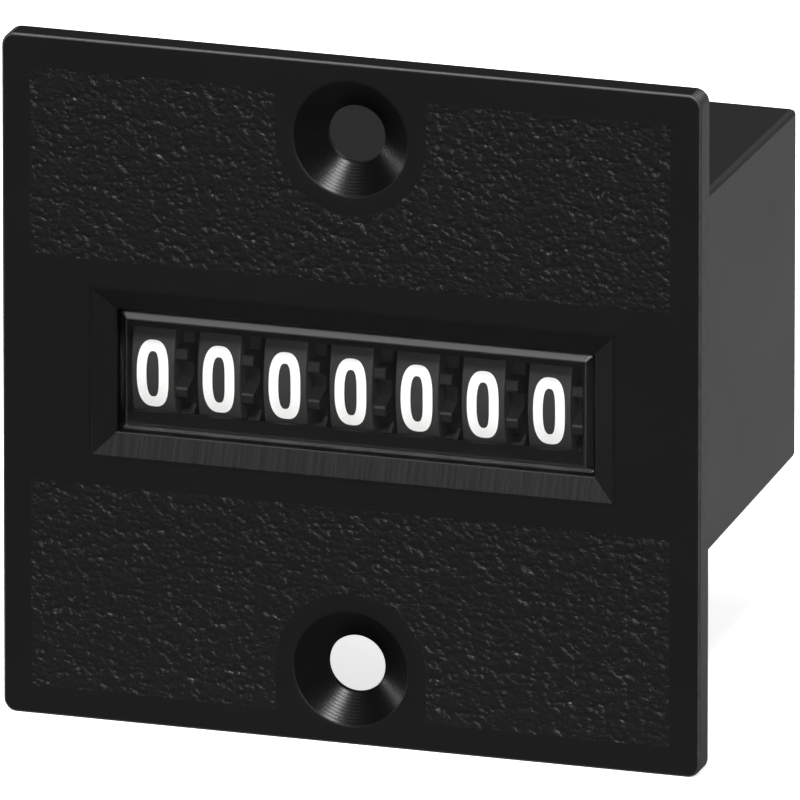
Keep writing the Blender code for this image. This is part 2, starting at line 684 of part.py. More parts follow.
def frame_plate(name, side):
    top, rear, corner = frame_half_height, frame_rear, FRAME_CORNER
    outline = [(ear_front, -top + corner), (ear_front + corner, -top), (rear - corner, -top),
               (rear, -top + corner), (rear, top - corner), (rear - corner, top),
               (ear_front + corner, top), (ear_front, top - corner)]
    holes = [circle(NUMBER_SHAFT_RADIUS + RUNNING_FIT, drum_y, drum_z),
             circle(PINION_SHAFT_RADIUS + RUNNING_FIT, pinion_y, pinion_z, segments=12),
             circle(ARMATURE_PIN_RADIUS + RUNNING_FIT, pivot_y, pivot_z, segments=12)]
    for y in crossbar_screw_ys():
        holes.append(circle(M2_LONG[0] + SCREW_HOLE_GAP, y, crossbar_z, segments=12))
    frame = flat(name, [outline] + holes, FRAME_THICKNESS,
                 (side * (frame_inner + FRAME_THICKNESS / 2), 0, 0), FACES_X)
    near, far = side * (frame_inner + FRAME_THICKNESS / 2), side * (frame_inner - EAR_LENGTH)
    ear_x = (min(near, far), max(near, far))
    for z in (-boss_z, boss_z):
        join(frame, box("ear", ear_x, (ear_front, ear_rear),
                        (z - EAR_HEIGHT / 2, z + EAR_HEIGHT / 2)))
        cut(frame, rod("ear_hole", M2_SHORT[0] + SCREW_HOLE_GAP, FRAME_THICKNESS * 3,
                       (side * boss_x, ear_front + FRAME_THICKNESS / 2, z), HEAD_TO["rear"],
                       segments=12))
    far = side * (pole_outer - BACKSTOP_LAP)
    join(frame, box("backstop", (min(near, far), max(near, far)),
                    (backstop_y - BACKSTOP_DEPTH / 2, backstop_y + BACKSTOP_DEPTH / 2),
                    (backstop_z, backstop_z + FRAME_THICKNESS)))
    return keep(frame, zinc_steel)


def crossbar_screw_ys():
    return (crossbar_y - CROSSBAR_DEPTH / 3, crossbar_y + CROSSBAR_DEPTH / 3)


def rear_crossbar():
    half = frame_inner - SEAT_GAP
    bar = box("rear_crossbar", (-half, half),
              (crossbar_y - CROSSBAR_DEPTH / 2, crossbar_rear),
              (crossbar_top - CROSSBAR_HEIGHT, crossbar_top))
    reach_in = M2_LONG[3] - FRAME_THICKNESS + SCREW_TIP_ROOM
    for side in (-1, 1):
        for y in crossbar_screw_ys():
            cut(bar, rod("end_hole", M2_LONG[0] + SCREW_HOLE_GAP, reach_in * 2,
                         (side * half, y, crossbar_z), HEAD_TO["right"], segments=12))
        cut(bar, rod("foot_hole", M2_SHORT[0] + SCREW_HOLE_GAP, M2_SHORT[3] * 2,
                     (side * foot_screw_x, coil_y, crossbar_top), HEAD_TO["up"], segments=12))
        cut(bar, rod("rear_hole", M2_5_REAR[0] + SCREW_HOLE_GAP, M2_5_REAR[3] * 2,
                     (side * HOUSING_SCREW_X, body_rear - COUNTERBORE_DEPTH, crossbar_z),
                     HEAD_TO["rear"], segments=12))
    return keep(bar, zinc_steel)


# ---- Magnet: bobbin, winding, core, pole legs, armature and verge ----

def bobbin():
    tube = CORE_RADIUS + SCREW_HOLE_GAP + BOBBIN_WALL
    piece = rod("bobbin", tube, COIL_LENGTH - FLANGE_THICKNESS, (0, coil_y, coil_z), FACES_X,
                segments=20)
    for side in (-1, 1):
        inner, outer = side * (half_coil - FLANGE_THICKNESS), side * half_coil
        join(piece, box("flange", (min(inner, outer), max(inner, outer)),
                        (coil_y - COIL_FLANGE, coil_y + COIL_FLANGE),
                        (coil_z - COIL_FLANGE, coil_z + COIL_FLANGE)))
    cut(piece, rod("bobbin_bore", CORE_RADIUS + SCREW_HOLE_GAP, COIL_LENGTH + CUT_PAST,
                   (0, coil_y, coil_z), FACES_X, segments=20))
    return keep(piece, white_plastic)


def coil_winding():
    inner = CORE_RADIUS + SCREW_HOLE_GAP + BOBBIN_WALL + SEAT_GAP
    half = half_coil - FLANGE_THICKNESS - SEAT_GAP
    profile = [(WINDING_RADIUS, half), (WINDING_RADIUS, -half), (inner, -half), (inner, half)]
    return keep(turned("coil_winding", profile, (0, coil_y, coil_z), FACES_X, segments=24),
                copper)


def coil_core():
    spigot = CORE_RADIUS - CORE_SHOULDER
    end = pole_outer + SEAT_GAP
    profile = [(0.0, end), (spigot, end), (spigot, half_coil), (CORE_RADIUS, half_coil),
               (CORE_RADIUS, -half_coil), (spigot, -half_coil), (spigot, -end), (0.0, -end)]
    return keep(turned("coil_core", profile, (0, coil_y, coil_z), FACES_X, segments=20),
                soft_iron)


def pole_leg(name, side):
    inner, outer = side * pole_inner, side * pole_outer
    toe = side * (pole_outer + POLE_FOOT)
    leg = box(name, (min(inner, outer), max(inner, outer)),
              (coil_y - POLE_DEPTH / 2, coil_y + POLE_DEPTH / 2),
              (foot_top - POLE_THICKNESS, pole_top))
    join(leg, box("foot", (min(inner, toe), max(inner, toe)),
                  (coil_y - POLE_DEPTH / 2, coil_y + POLE_DEPTH / 2),
                  (foot_top - POLE_THICKNESS, foot_top)))
    cut(leg,
        rod("spigot_hole", CORE_RADIUS - CORE_SHOULDER + RUNNING_FIT, POLE_THICKNESS * 3,
            (side * (pole_inner + pole_outer) / 2, coil_y, coil_z), HEAD_TO["right"]),
        rod("toe_hole", M2_SHORT[0] + SCREW_HOLE_GAP, POLE_THICKNESS * 3,
            (side * foot_screw_x, coil_y, foot_top - POLE_THICKNESS / 2), HEAD_TO["up"],
            segments=12))
    return keep(leg, soft_iron)


def armature_axis():
    """The pivot, turned to the released position that the backstop sets."""
    axis = place(bpy.data.objects.new("armature_axis", None), (0, pivot_y, pivot_z),
                 (ARMATURE_TRAVEL, 0, 0))
    counter.objects.link(axis)
    return axis


def armature(axis):
    """Modelled about its pivot as it lies when the coil holds it down."""
    front, rear = coil_y - POLE_DEPTH / 2 - pivot_y, armature_rear - pivot_y
    half = pole_outer
    plate = box("armature", (-half, half), (front, rear),
                (-ARMATURE_DROP, ARMATURE_THICKNESS - ARMATURE_DROP))
    for side in (-1, 1):
        inner, outer = side * (half - EAR_THICKNESS), side * half
        x = (min(inner, outer), max(inner, outer))
        join(plate,
             box("armature_ear", x, (0.0, front + 1.0),
                 (-ARMATURE_DROP, ARMATURE_THICKNESS - ARMATURE_DROP + 0.3)),
             rod("armature_hub", ARMATURE_HUB_RADIUS, EAR_THICKNESS, (sum(x) / 2, 0, 0),
                 FACES_X))
    cut(plate, rod("armature_bore", ARMATURE_PIN_RADIUS + RUNNING_FIT, half * 3, (0, 0, 0),
                   FACES_X, segments=12))
    piece = solid(plate)
    piece.parent = axis
    return keep(piece, soft_iron)


def verge_fork(axis):
    """An anchor about the ratchet; one pallet is down at each end of the armature's travel."""
    centre = polar(-PIVOT_DISTANCE_IN_RATCHETS * ratchet_radius, PIVOT_ANGLE)
    swing = pallet_swing()
    exit_tip = ratchet_radius + PALLET_GAP
    entry_tip = exit_tip + swing
    inner = entry_tip + PALLET_LENGTH
    outer = inner + VERGE_BAND
    entry, exit_ = PIVOT_ANGLE + PALLET_SPREAD, PIVOT_ANGLE - PALLET_SPREAD
    neck = math.degrees(VERGE_NECK / 2 / outer)
    hub = math.degrees(math.asin(VERGE_NECK / 2 / VERGE_HUB_RADIUS))
    towards = PIVOT_ANGLE + 180.0
    outline = arc(outer, exit_ - 4, PIVOT_ANGLE - neck, 6, *centre)
    outline += arc(VERGE_HUB_RADIUS, towards + hub, towards + 360 - hub, 10)
    outline += arc(outer, PIVOT_ANGLE + neck, entry + 4, 6, *centre)
    outline += [polar(entry_tip, entry + 2, *centre), polar(entry_tip, entry - 1, *centre)]
    outline += arc(inner, entry - 5, exit_ + 5, 12, *centre)
    outline += [polar(exit_tip, exit_ + 1, *centre), polar(exit_tip, exit_ - 2, *centre)]
    bore = circle(ARMATURE_PIN_RADIUS + RUNNING_FIT, segments=12)
    fork = flat("verge_fork", [outline, bore], RATCHET_WIDTH,
                (ratchet_left + RATCHET_WIDTH / 2, 0, 0), FACES_X)
    start, end = pole_outer + SEAT_GAP, frame_inner - VERGE_SLEEVE_GAP
    sleeve = rod("verge_sleeve", VERGE_HUB_RADIUS, end - start, ((start + end) / 2, 0, 0),
                 FACES_X)
    join(fork, sleeve)
    cut(fork, rod("verge_bore", ARMATURE_PIN_RADIUS + RUNNING_FIT, (end - start) * 2,
                  ((start + end) / 2, 0, 0), FACES_X, segments=12))
    piece = solid(fork)
    piece.parent = axis
    return keep(piece, brass)


def pallet_swing():
    """How far a pallet moves along the ratchet's radius over the armature's travel."""
    arm = math.hypot(*[a - b for a, b in zip(
        polar(ratchet_radius, PALLET_SPREAD),
        (PIVOT_DISTANCE_IN_RATCHETS * ratchet_radius, 0.0))])
    return arm * math.sin(math.radians(ARMATURE_TRAVEL))


def armature_pin():
    return keep(rod("armature_pin", ARMATURE_PIN_RADIUS, 2 * (frame_outer + PIN_END),
                    (0, pivot_y, pivot_z), FACES_X, segments=12), bright_steel)


def armature_spring():
    """A torsion spring on the pin: one leg on the left frame, one under the armature."""
    points = []
    left = -frame_inner + SPRING_WIRE
    per_turn = 10
    rise = SPRING_WIRE * 1.25
    points.append((left, *polar(SPRING_RADIUS * 2.6, -60.0, pivot_y, pivot_z)))
    for step in range(SPRING_TURNS * per_turn + 1):
        angle = 30.0 + 360.0 * step / per_turn
        points.append((left + rise * step / per_turn,
                       *polar(SPRING_RADIUS, angle, pivot_y, pivot_z)))
    points.append((left + rise * SPRING_TURNS, *polar(SPRING_RADIUS * 1.8, 0.0, pivot_y, pivot_z)))
    curve = bpy.data.curves.new("armature_spring", "CURVE")
    curve.dimensions = "3D"
    curve.bevel_depth = SPRING_WIRE / 2 * MM
    curve.bevel_resolution = 1
    curve.use_fill_caps = True
    spline = curve.splines.new("POLY")
    spline.points.add(len(points) - 1)
    for point, place_at in zip(spline.points, points):
        point.co = (*[value * MM for value in place_at], 1.0)
    return keep(bpy.data.objects.new("armature_spring", curve), bright_steel)


# ---- Housing and terminals ----

def housing():
    shell = tapered_box("housing", half_size_at(HOUSING_GAP, WALL), half_size_at(body_rear, WALL),
                        HOUSING_GAP, body_rear, bevel=BODY_CORNER)
    cut(shell, tapered_box("hollow", half_size_at(-1.0), half_size_at(rear_inner), -1.0,
                           rear_inner))
    boss_front = crossbar_rear + SEAT_GAP
    for side in (-1, 1):
        x = side * HOUSING_SCREW_X
        join(shell, rod("screw_boss", HOUSING_BOSS_RADIUS, rear_inner - boss_front + ROOT_LAP,
                        (x, (rear_inner + boss_front + ROOT_LAP) / 2, crossbar_z),
                        HEAD_TO["rear"]))
        x = side * BOARD_SCREW_X
        stand = REAR_ROOM - BOARD_BOSS_GAP
        join(shell, rod("board_boss", BOSS_RADIUS, stand + ROOT_LAP,
                        (x, rear_inner - (stand - ROOT_LAP) / 2, blade_z), HEAD_TO["rear"]))
    board = board_half_width + BOARD_EDGE_GAP
    cut(shell, box("board_pocket", (-board, board), (body_rear - BOARD_POCKET, body_rear + 1.0),
                   (blade_z - BOARD_HEIGHT / 2 - BOARD_EDGE_GAP,
                    blade_z + BOARD_HEIGHT / 2 + BOARD_EDGE_GAP)))
    for side in (-1, 1):
        x = side * HOUSING_SCREW_X
        cut(shell,
            rod("counterbore", M2_5_REAR[1] + COUNTERBORE_GAP, COUNTERBORE_DEPTH * 2,
                (x, body_rear, crossbar_z), HEAD_TO["rear"]),
            rod("rear_screw_hole", M2_5_REAR[0] + SCREW_HOLE_GAP, 20.0,
                (x, body_rear, crossbar_z), HEAD_TO["rear"], segments=12),
            rod("board_screw_hole", M2_SHORT[0] + SCREW_HOLE_GAP, 8.0,
                (side * BOARD_SCREW_X, body_rear, blade_z), HEAD_TO["rear"], segments=12),
            blade_slot("housing_slot", side, body_rear - 5.0, body_rear + 5.0))
    return keep(shell, black_plastic)


def blade_slot(name, side, front, rear):
    half_width, half_height = BLADE_WIDTH / 2 + SEAT_GAP, BLADE_THICKNESS / 2 + SEAT_GAP
    x = side * BLADE_X
    return box(name, (x - half_width, x + half_width), (front, rear),
               (blade_z - half_height, blade_z + half_height))


def terminal_board():
    board = box("terminal_board", (-board_half_width, board_half_width), (board_front, board_rear),
                (blade_z - BOARD_HEIGHT / 2, blade_z + BOARD_HEIGHT / 2))
    for side in (-1, 1):
        cut(board,
            blade_slot("board_slot", side, board_front - 1.0, board_rear + 1.0),
            rod("board_hole", M2_SHORT[0] + SCREW_HOLE_GAP, BOARD_THICKNESS * 3,
                (side * BOARD_SCREW_X, board_front, blade_z), HEAD_TO["rear"], segments=12))
    return keep(board, brown_laminate)


def terminal(name, side):
    """A flat blade: tip outside, a hole for solder or a receptacle's dimple, tail inside."""
    half, tip = BLADE_WIDTH / 2, board_rear + BLADE_LENGTH
    tail = rear_inner - TAIL_LENGTH
    outline = [(-half, tail), (half, tail), (half, tip - BLADE_POINT), (half * 0.6, tip),
               (-half * 0.6, tip), (-half, tip - BLADE_POINT)]
    hole = circle(BLADE_HOLE_RADIUS, 0.0, tip - BLADE_HOLE_FROM_TIP, segments=12)
    return keep(flat(name, [outline, hole], BLADE_THICKNESS,
                     (side * BLADE_X, 0, blade_z), (0, 0, 0)), brass)


def coil_wire(name, side, finish):
    """From the bobbin's flange round behind the pole leg to the terminal's tail."""
    tail_y = rear_inner - TAIL_LENGTH
    lift = BLADE_THICKNESS / 2 + WIRE_RADIUS + SEAT_GAP
    start = (half_coil + WIRE_RADIUS, coil_y + COIL_FLANGE - 1.0, blade_z + 1.6)
    end = (BLADE_X, tail_y + 0.8, blade_z + lift)
    steps = 8
    points = []
    for step in range(steps + 1):
        t = step / steps
        ease = t * t * (3 - 2 * t)
        points.append((side * (start[0] + (end[0] - start[0]) * t),
                       start[1] + (end[1] - start[1]) * t,
                       start[2] + (end[2] - start[2]) * ease + 0.5 * math.sin(math.pi * t)))
    curve = bpy.data.curves.new(name, "CURVE")
    curve.dimensions = "3D"
    curve.bevel_depth = WIRE_RADIUS * MM
    curve.bevel_resolution = 2
    curve.use_fill_caps = True
    spline = curve.splines.new("POLY")
    spline.points.add(len(points) - 1)
    for point, place_at in zip(spline.points, points):
        point.co = (*[value * MM for value in place_at], 1.0)
    return keep(bpy.data.objects.new(name, curve), finish)


def fasteners():
    short = screw_mesh("m2_short", M2_SHORT)
    long = screw_mesh("m2_long", M2_LONG)
    rear = screw_mesh("m2_5_rear", M2_5_REAR)
    count = 0
    for x in (-boss_x, boss_x):
        for z in (-boss_z, boss_z):
            count += 1
            screw(f"frame_screw_{count}", short, (x, ear_rear + SEAT_GAP, z), "rear", zinc_steel)
    count = 0
    for side, head_to in ((-1, "left"), (1, "right")):
        for y in crossbar_screw_ys():
            count += 1
            screw(f"crossbar_screw_{count}", long,
                  (side * (frame_outer + SEAT_GAP), y, crossbar_z), head_to, zinc_steel)
    for side, word in ((-1, "left"), (1, "right")):
        screw(f"pole_screw_{word}", short, (side * foot_screw_x, coil_y, foot_top + SEAT_GAP),
              "up", zinc_steel)
        screw(f"board_screw_{word}", short,
              (side * BOARD_SCREW_X, board_rear + SEAT_GAP, blade_z), "rear", zinc_steel)
        screw(f"housing_screw_{word}", rear,
              (side * HOUSING_SCREW_X, body_rear - COUNTERBORE_DEPTH + SEAT_GAP, crossbar_z),
              "rear", zinc_steel)


front_plate()
window_pane()
digit_mask()
number_wheels()
transfer_pinions()
ratchet_wheel()
shafts()
frame_plate("frame_plate_left", -1)
frame_plate("frame_plate_right", 1)
rear_crossbar()
bobbin()
coil_winding()
coil_core()
pole_leg("pole_leg_left", -1)
pole_leg("pole_leg_right", 1)
pivot = armature_axis()
armature(pivot)
verge_fork(pivot)
armature_pin()
armature_spring()
housing()
terminal_board()
terminal("terminal_left", -1)
terminal("terminal_right", 1)
coil_wire("coil_wire_left", -1, red_pvc)
coil_wire("coil_wire_right", 1, black_plastic)
fasteners()
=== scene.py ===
# Panel-mount impulse counter: seven number wheels behind a window in a black moulded plate.
# Sizes in the dictionaries are millimetres; X is right, Y goes into the panel, Z is up.

import math

import bmesh
import bpy
from mathutils import Matrix, Vector
from mathutils.geometry import delaunay_2d_cdt


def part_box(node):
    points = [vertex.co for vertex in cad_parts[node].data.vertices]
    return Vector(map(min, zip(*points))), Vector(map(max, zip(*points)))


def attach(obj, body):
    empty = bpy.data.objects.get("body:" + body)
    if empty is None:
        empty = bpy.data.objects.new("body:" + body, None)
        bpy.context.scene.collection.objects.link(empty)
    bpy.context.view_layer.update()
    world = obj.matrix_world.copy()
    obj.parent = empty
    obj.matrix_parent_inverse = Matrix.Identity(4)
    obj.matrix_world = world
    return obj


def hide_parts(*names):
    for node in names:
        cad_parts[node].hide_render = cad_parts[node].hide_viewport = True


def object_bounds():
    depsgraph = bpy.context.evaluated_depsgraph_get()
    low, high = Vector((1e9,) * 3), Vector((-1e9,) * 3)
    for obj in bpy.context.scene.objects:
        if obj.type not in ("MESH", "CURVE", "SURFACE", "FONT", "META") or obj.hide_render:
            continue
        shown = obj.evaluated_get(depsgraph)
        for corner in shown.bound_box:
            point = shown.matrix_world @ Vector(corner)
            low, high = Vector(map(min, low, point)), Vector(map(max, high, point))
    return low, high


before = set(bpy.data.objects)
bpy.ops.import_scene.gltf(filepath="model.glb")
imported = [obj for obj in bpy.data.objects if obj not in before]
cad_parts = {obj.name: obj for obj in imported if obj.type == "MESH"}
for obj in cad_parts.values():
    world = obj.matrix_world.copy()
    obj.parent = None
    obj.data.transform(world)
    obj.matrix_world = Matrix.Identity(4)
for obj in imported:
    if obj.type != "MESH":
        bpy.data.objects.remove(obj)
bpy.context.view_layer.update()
mm = 0.001


# small helpers

def hexColour(text):
    # sRGB hex to the linear colour that the nodes expect
    channels = [int(text[i:i + 2], 16) / 255 for i in (1, 3, 5)]
    linear = [c / 12.92 if c <= 0.04045 else ((c + 0.055) / 1.055) ** 2.4 for c in channels]
    return (*linear, 1.0)


def perMetre(size):
    # texture scale whose features come out at this many millimetres
    return 1.0 / (size * mm)


def addNode(tree, kind, settings=None, links=None):
    made = tree.nodes.new(kind)
    for key, value in (settings or {}).items():
        if isinstance(key, int) or key in made.inputs:
            made.inputs[key].default_value = value
        else:
            setattr(made, key, value)
    for key, source in (links or {}).items():
        tree.links.new(source, made.inputs[key])
    return made


def newMaterial(name, settings):
    made = bpy.data.materials.new(name)
    made.use_nodes = True
    shader = made.node_tree.nodes["Principled BSDF"]
    for key, value in settings.items():
        shader.inputs[key].default_value = value
    return made, made.node_tree, shader


def objectCoords(tree, stretch=(1.0, 1.0, 1.0)):
    coords = addNode(tree, "ShaderNodeTexCoord")
    return addNode(tree, "ShaderNodeMapping", {"Scale": stretch},
                   {"Vector": coords.outputs["Object"]}).outputs["Vector"]


def nodeBox(name):
    # a CAD node's lowest and highest corners in millimetres
    low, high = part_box(name)
    return [v / mm for v in low], [v / mm for v in high]


def nodeMiddle(name):
    low, high = nodeBox(name)
    return [(a + b) / 2 for a, b in zip(low, high)]


# ---------- materials ----------

def roughnessSpread(tree, shader, coords, size, low, high):
    # uneven gloss, as handling and the mould leave it
    spots = addNode(tree, "ShaderNodeTexNoise", {"Scale": perMetre(size), "Detail": 4.0},
                    {"Vector": coords})
    spread = addNode(tree, "ShaderNodeMapRange", {"To Min": low, "To Max": high},
                     {"Value": spots.outputs["Fac"]})
    tree.links.new(spread.outputs["Result"], shader.inputs["Roughness"])
    return spots


def addBump(tree, shader, height, distance, strength=1.0):
    # distance in millimetres
    bump = addNode(tree, "ShaderNodeBump", {"Distance": distance * mm, "Strength": strength},
                   {"Height": height})
    tree.links.new(bump.outputs["Normal"], shader.inputs["Normal"])
    return bump


absLook = {
    "black": "#0d0d0d",
    "specular": 0.12,       # the toned-down sheen of a carbon-filled black
    "ior": 1.53,            # ABS
    "roughness": (0.36, 0.5),
    "sparkSize": 0.16,      # eroded mould finish; drawn coarser than the real 0.05 so that it shows
    "sparkDepth": 0.004,
    "pebbleSize": 0.46,     # leather grain, one pebble
    "pebbleDepth": 0.15,
    "wrinkleSize": 0.2,
    "ringStep": 0.21,       # tool marks in the countersinks
    "ringDepth": 0.005,
}


def mouldedAbs():
    # black ABS from a spark-eroded mould: a soft sheen that breaks up very finely
    made, tree, shader = newMaterial("mouldedBlackAbs", {
        "Base Color": hexColour(absLook["black"]), "IOR": absLook["ior"],
        "Specular IOR Level": absLook["specular"]})
    coords = objectCoords(tree)
    roughnessSpread(tree, shader, coords, 6.0, *absLook["roughness"])
    spark = addNode(tree, "ShaderNodeTexNoise",
                    {"Scale": perMetre(absLook["sparkSize"]), "Detail": 3.0}, {"Vector": coords})
    addBump(tree, shader, spark.outputs["Fac"], absLook["sparkDepth"])
    return made


def maskAbsWithPaintedShade():
    # flat black styrene mask, darker than the plate: its own matt black deepened as painted shade
    # for the shadow of the window's edges, so that only the wheels show in the window
    made, tree, shader = newMaterial("flatBlackMaskStyreneWithPaintedShade", {
        "Base Color": hexColour("#080808"), "IOR": 1.59, "Specular IOR Level": 0.06})
    coords = objectCoords(tree)
    roughnessSpread(tree, shader, coords, 3.0, 0.55, 0.7)
    return made


def housingAbs():
    # the housing's ABS: a finer, even mould finish that reads lighter at a slant
    made, tree, shader = newMaterial("housingBlackAbs", {
        "Base Color": hexColour("#121212"), "IOR": absLook["ior"], "Specular IOR Level": 0.3})
    coords = objectCoords(tree)
    roughnessSpread(tree, shader, coords, 9.0, 0.36, 0.42)
    spark = addNode(tree, "ShaderNodeTexNoise",
                    {"Scale": perMetre(absLook["sparkSize"]), "Detail": 3.0}, {"Vector": coords})
    addBump(tree, shader, spark.outputs["Fac"], absLook["sparkDepth"])
    return made


def wornEdgeAbsWithPaintedHighlight():
    # the plate's rim: rubbed ABS, a little paler and glossier in random patches; the paler tone is
    # partly wear and partly a painted highlight that lifts the rim's light line
    made, tree, shader = newMaterial("rubbedEdgeAbsWithPaintedHighlight", {
        "IOR": absLook["ior"], "Specular IOR Level": 0.34})
    coords = objectCoords(tree)
    rubsAndHighlight = roughnessSpread(tree, shader, coords, 0.9, 0.3, 0.6)
    # painted highlight: the paler tone brightens the rim's light line, on top of the wear
    tone = addNode(tree, "ShaderNodeMix",
                   {"data_type": "RGBA", "A": hexColour("#101010"), "B": hexColour("#3c3c3c")},
                   {"Factor": rubsAndHighlight.outputs["Fac"]})
    tree.links.new(tone.outputs["Result"], shader.inputs["Base Color"])
    addBump(tree, shader, rubsAndHighlight.outputs["Fac"], 0.03)
    return made


def bezelAbs():
    # ABS off the polished, filed slopes of the mould's window block: fine streaks run down them. Its
    # base is darker than the plate's: painted shade, set for the down-facing top slope
    made, tree, shader = newMaterial("streakedBezelAbs", {
        "Base Color": hexColour("#070707"), "IOR": absLook["ior"], "Specular IOR Level": 0.15})
    coords = objectCoords(tree, (1.0, 0.06, 0.06))
    streaks = roughnessSpread(tree, shader, coords, 0.35, 0.3, 0.55)
    addBump(tree, shader, streaks.outputs["Fac"], 0.02)
    return made


def leatherGrainAbs():
    # the same ABS with an etched leather grain: rounded pebbles that each catch the light
    made, tree, shader = newMaterial("leatherGrainAbs", {
        "Base Color": hexColour(absLook["black"]), "IOR": absLook["ior"],
        "Roughness": 0.38, "Specular IOR Level": 0.18})
    coords = objectCoords(tree, (0.88, 1.0, 1.1))
    pebbles = addNode(tree, "ShaderNodeTexVoronoi",
                      {"feature": "SMOOTH_F1", "Scale": perMetre(absLook["pebbleSize"]),
                       "Smoothness": 0.45, "Randomness": 1.0}, {"Vector": coords})
    patches = addNode(tree, "ShaderNodeTexNoise", {"Scale": perMetre(0.9), "Detail": 2.0},
                      {"Vector": coords})
    swell = addNode(tree, "ShaderNodeMapRange",
                    {"From Min": 0.42, "From Max": 0.72, "To Min": 0.35, "To Max": 1.5},
                    {"Value": patches.outputs["Fac"]})      # a few pebbles stand up, most lie low
    domes = addNode(tree, "ShaderNodeMath", {"operation": "MULTIPLY"},
                    {0: pebbles.outputs["Distance"], 1: swell.outputs["Result"]})
    wrinkles = addNode(tree, "ShaderNodeTexNoise",
                       {"Scale": perMetre(absLook["wrinkleSize"]), "Detail": 2.0},
                       {"Vector": coords})
    creases = addNode(tree, "ShaderNodeMath", {"operation": "MULTIPLY", 1: 0.2},
                      {0: wrinkles.outputs["Fac"]})
    height = addNode(tree, "ShaderNodeMath", {"operation": "SUBTRACT"},
                     {0: creases.outputs["Value"], 1: domes.outputs["Value"]})
    addBump(tree, shader, height.outputs["Value"], absLook["pebbleDepth"])
    return made


def turnedAbs(name, holeZs):
    # ABS cut with a countersink bit: concentric tool marks that gather the light in a wedge
    made, tree, shader = newMaterial(name, {
        "Base Color": hexColour("#060606"), "IOR": absLook["ior"], "Roughness": 0.27,
        "Specular IOR Level": 0.1})
    coords = addNode(tree, "ShaderNodeTexCoord")
    axes = addNode(tree, "ShaderNodeSeparateXYZ", None, {"Vector": coords.outputs["Object"]})
    # both holes are the same distance from the middle, so the folded height serves for each
    folded = addNode(tree, "ShaderNodeMath", {"operation": "ABSOLUTE"}, {0: axes.outputs["Z"]})
    fromHole = addNode(tree, "ShaderNodeMath", {"operation": "SUBTRACT", 1: holeZs * mm},
                       {0: folded.outputs["Value"]})
    flat = addNode(tree, "ShaderNodeCombineXYZ", None,
                   {"X": axes.outputs["X"], "Z": fromHole.outputs["Value"]})
    radius = addNode(tree, "ShaderNodeVectorMath", {"operation": "LENGTH"},
                     {0: flat.outputs["Vector"]})
    turns = addNode(tree, "ShaderNodeMath",
                    {"operation": "MULTIPLY", 1: perMetre(absLook["ringStep"]) * math.tau},
                    {0: radius.outputs["Value"]})
    ridges = addNode(tree, "ShaderNodeMath", {"operation": "SINE"}, {0: turns.outputs["Value"]})
    scratch = addNode(tree, "ShaderNodeTexNoise", {"Scale": perMetre(0.3), "Detail": 3.0},
                      {"Vector": coords.outputs["Object"]})
    height = addNode(tree, "ShaderNodeMath", {"operation": "MULTIPLY_ADD", 1: 0.4},
                     {0: ridges.outputs["Value"], 2: scratch.outputs["Fac"]})
    addBump(tree, shader, height.outputs["Value"], absLook["ringDepth"])
    return made


def wheelAbs(name, dark, light):
    # dark grey moulded wheel plastic, duller and a little lighter than the plate
    made, tree, shader = newMaterial(name, {"IOR": 1.53, "Specular IOR Level": 0.25})
    coords = objectCoords(tree)
    roughnessSpread(tree, shader, coords, 1.5, 0.45, 0.6)
    shade = addNode(tree, "ShaderNodeTexNoise", {"Scale": perMetre(0.8), "Detail": 4.0},
                    {"Vector": coords})
    tone = addNode(tree, "ShaderNodeMix",
                   {"data_type": "RGBA", "A": hexColour(dark), "B": hexColour(light)},
                   {"Factor": shade.outputs["Fac"]})
    tree.links.new(tone.outputs["Result"], shader.inputs["Base Color"])
    addBump(tree, shader, shade.outputs["Fac"], 0.006)
    return made


def stampedInk():
    # white hot-stamped foil figures: dense and matt, faintly uneven in the cover
    made, tree, shader = newMaterial("whiteStampedInk", {"IOR": 1.5, "Roughness": 0.45})
    coords = objectCoords(tree)
    cover = addNode(tree, "ShaderNodeTexNoise", {"Scale": perMetre(0.35), "Detail": 4.0},
                    {"Vector": coords})
    tone = addNode(tree, "ShaderNodeMix",
                   {"data_type": "RGBA", "A": hexColour("#f0f0ee"), "B": hexColour("#fafaf8")},
                   {"Factor": cover.outputs["Fac"]})
    tree.links.new(tone.outputs["Result"], shader.inputs["Base Color"])
    addBump(tree, shader, cover.outputs["Fac"], 0.003)
    return made


def clearAcrylic(name, mirror, roughness):
    # moulded clear acrylic: see-through, with a skin that mirrors only the lights
    made = bpy.data.materials.new(name)
    made.use_nodes = True
    tree = made.node_tree
    tree.nodes.clear()
    clear = addNode(tree, "ShaderNodeBsdfTransparent", {"Color": (0.97, 0.97, 0.97, 1.0)})
    gloss = addNode(tree, "ShaderNodeBsdfGlossy", {"Color": (1.0, 1.0, 1.0, 1.0),
                                                   "Roughness": roughness})
    tilt = addNode(tree, "ShaderNodeLayerWeight", {"Blend": 0.5})
    rise = addNode(tree, "ShaderNodeMath", {"operation": "POWER", 1: 5.0},
                   {0: tilt.outputs["Facing"]})
    share = addNode(tree, "ShaderNodeMath", {"operation": "MULTIPLY_ADD", 1: 0.9, 2: mirror},
                    {0: rise.outputs["Value"]})
    mixed = addNode(tree, "ShaderNodeMixShader", None,
                    {"Fac": share.outputs["Value"], 1: clear.outputs["BSDF"],
                     2: gloss.outputs["BSDF"]})
    addNode(tree, "ShaderNodeOutputMaterial", None, {"Surface": mixed.outputs["Shader"]})
    return made


def whiteAcetal():
    # natural acetal, injection moulded: milky white with a waxy gloss
    made, tree, shader = newMaterial("naturalAcetal", {
        "Base Color": hexColour("#e4e0d2"), "IOR": 1.48, "Subsurface Weight": 0.15,
        "Subsurface Scale": 0.5 * mm})
    coords = objectCoords(tree)
    flow = roughnessSpread(tree, shader, coords, 2.5, 0.28, 0.42)
    addBump(tree, shader, flow.outputs["Fac"], 0.01)
    return made


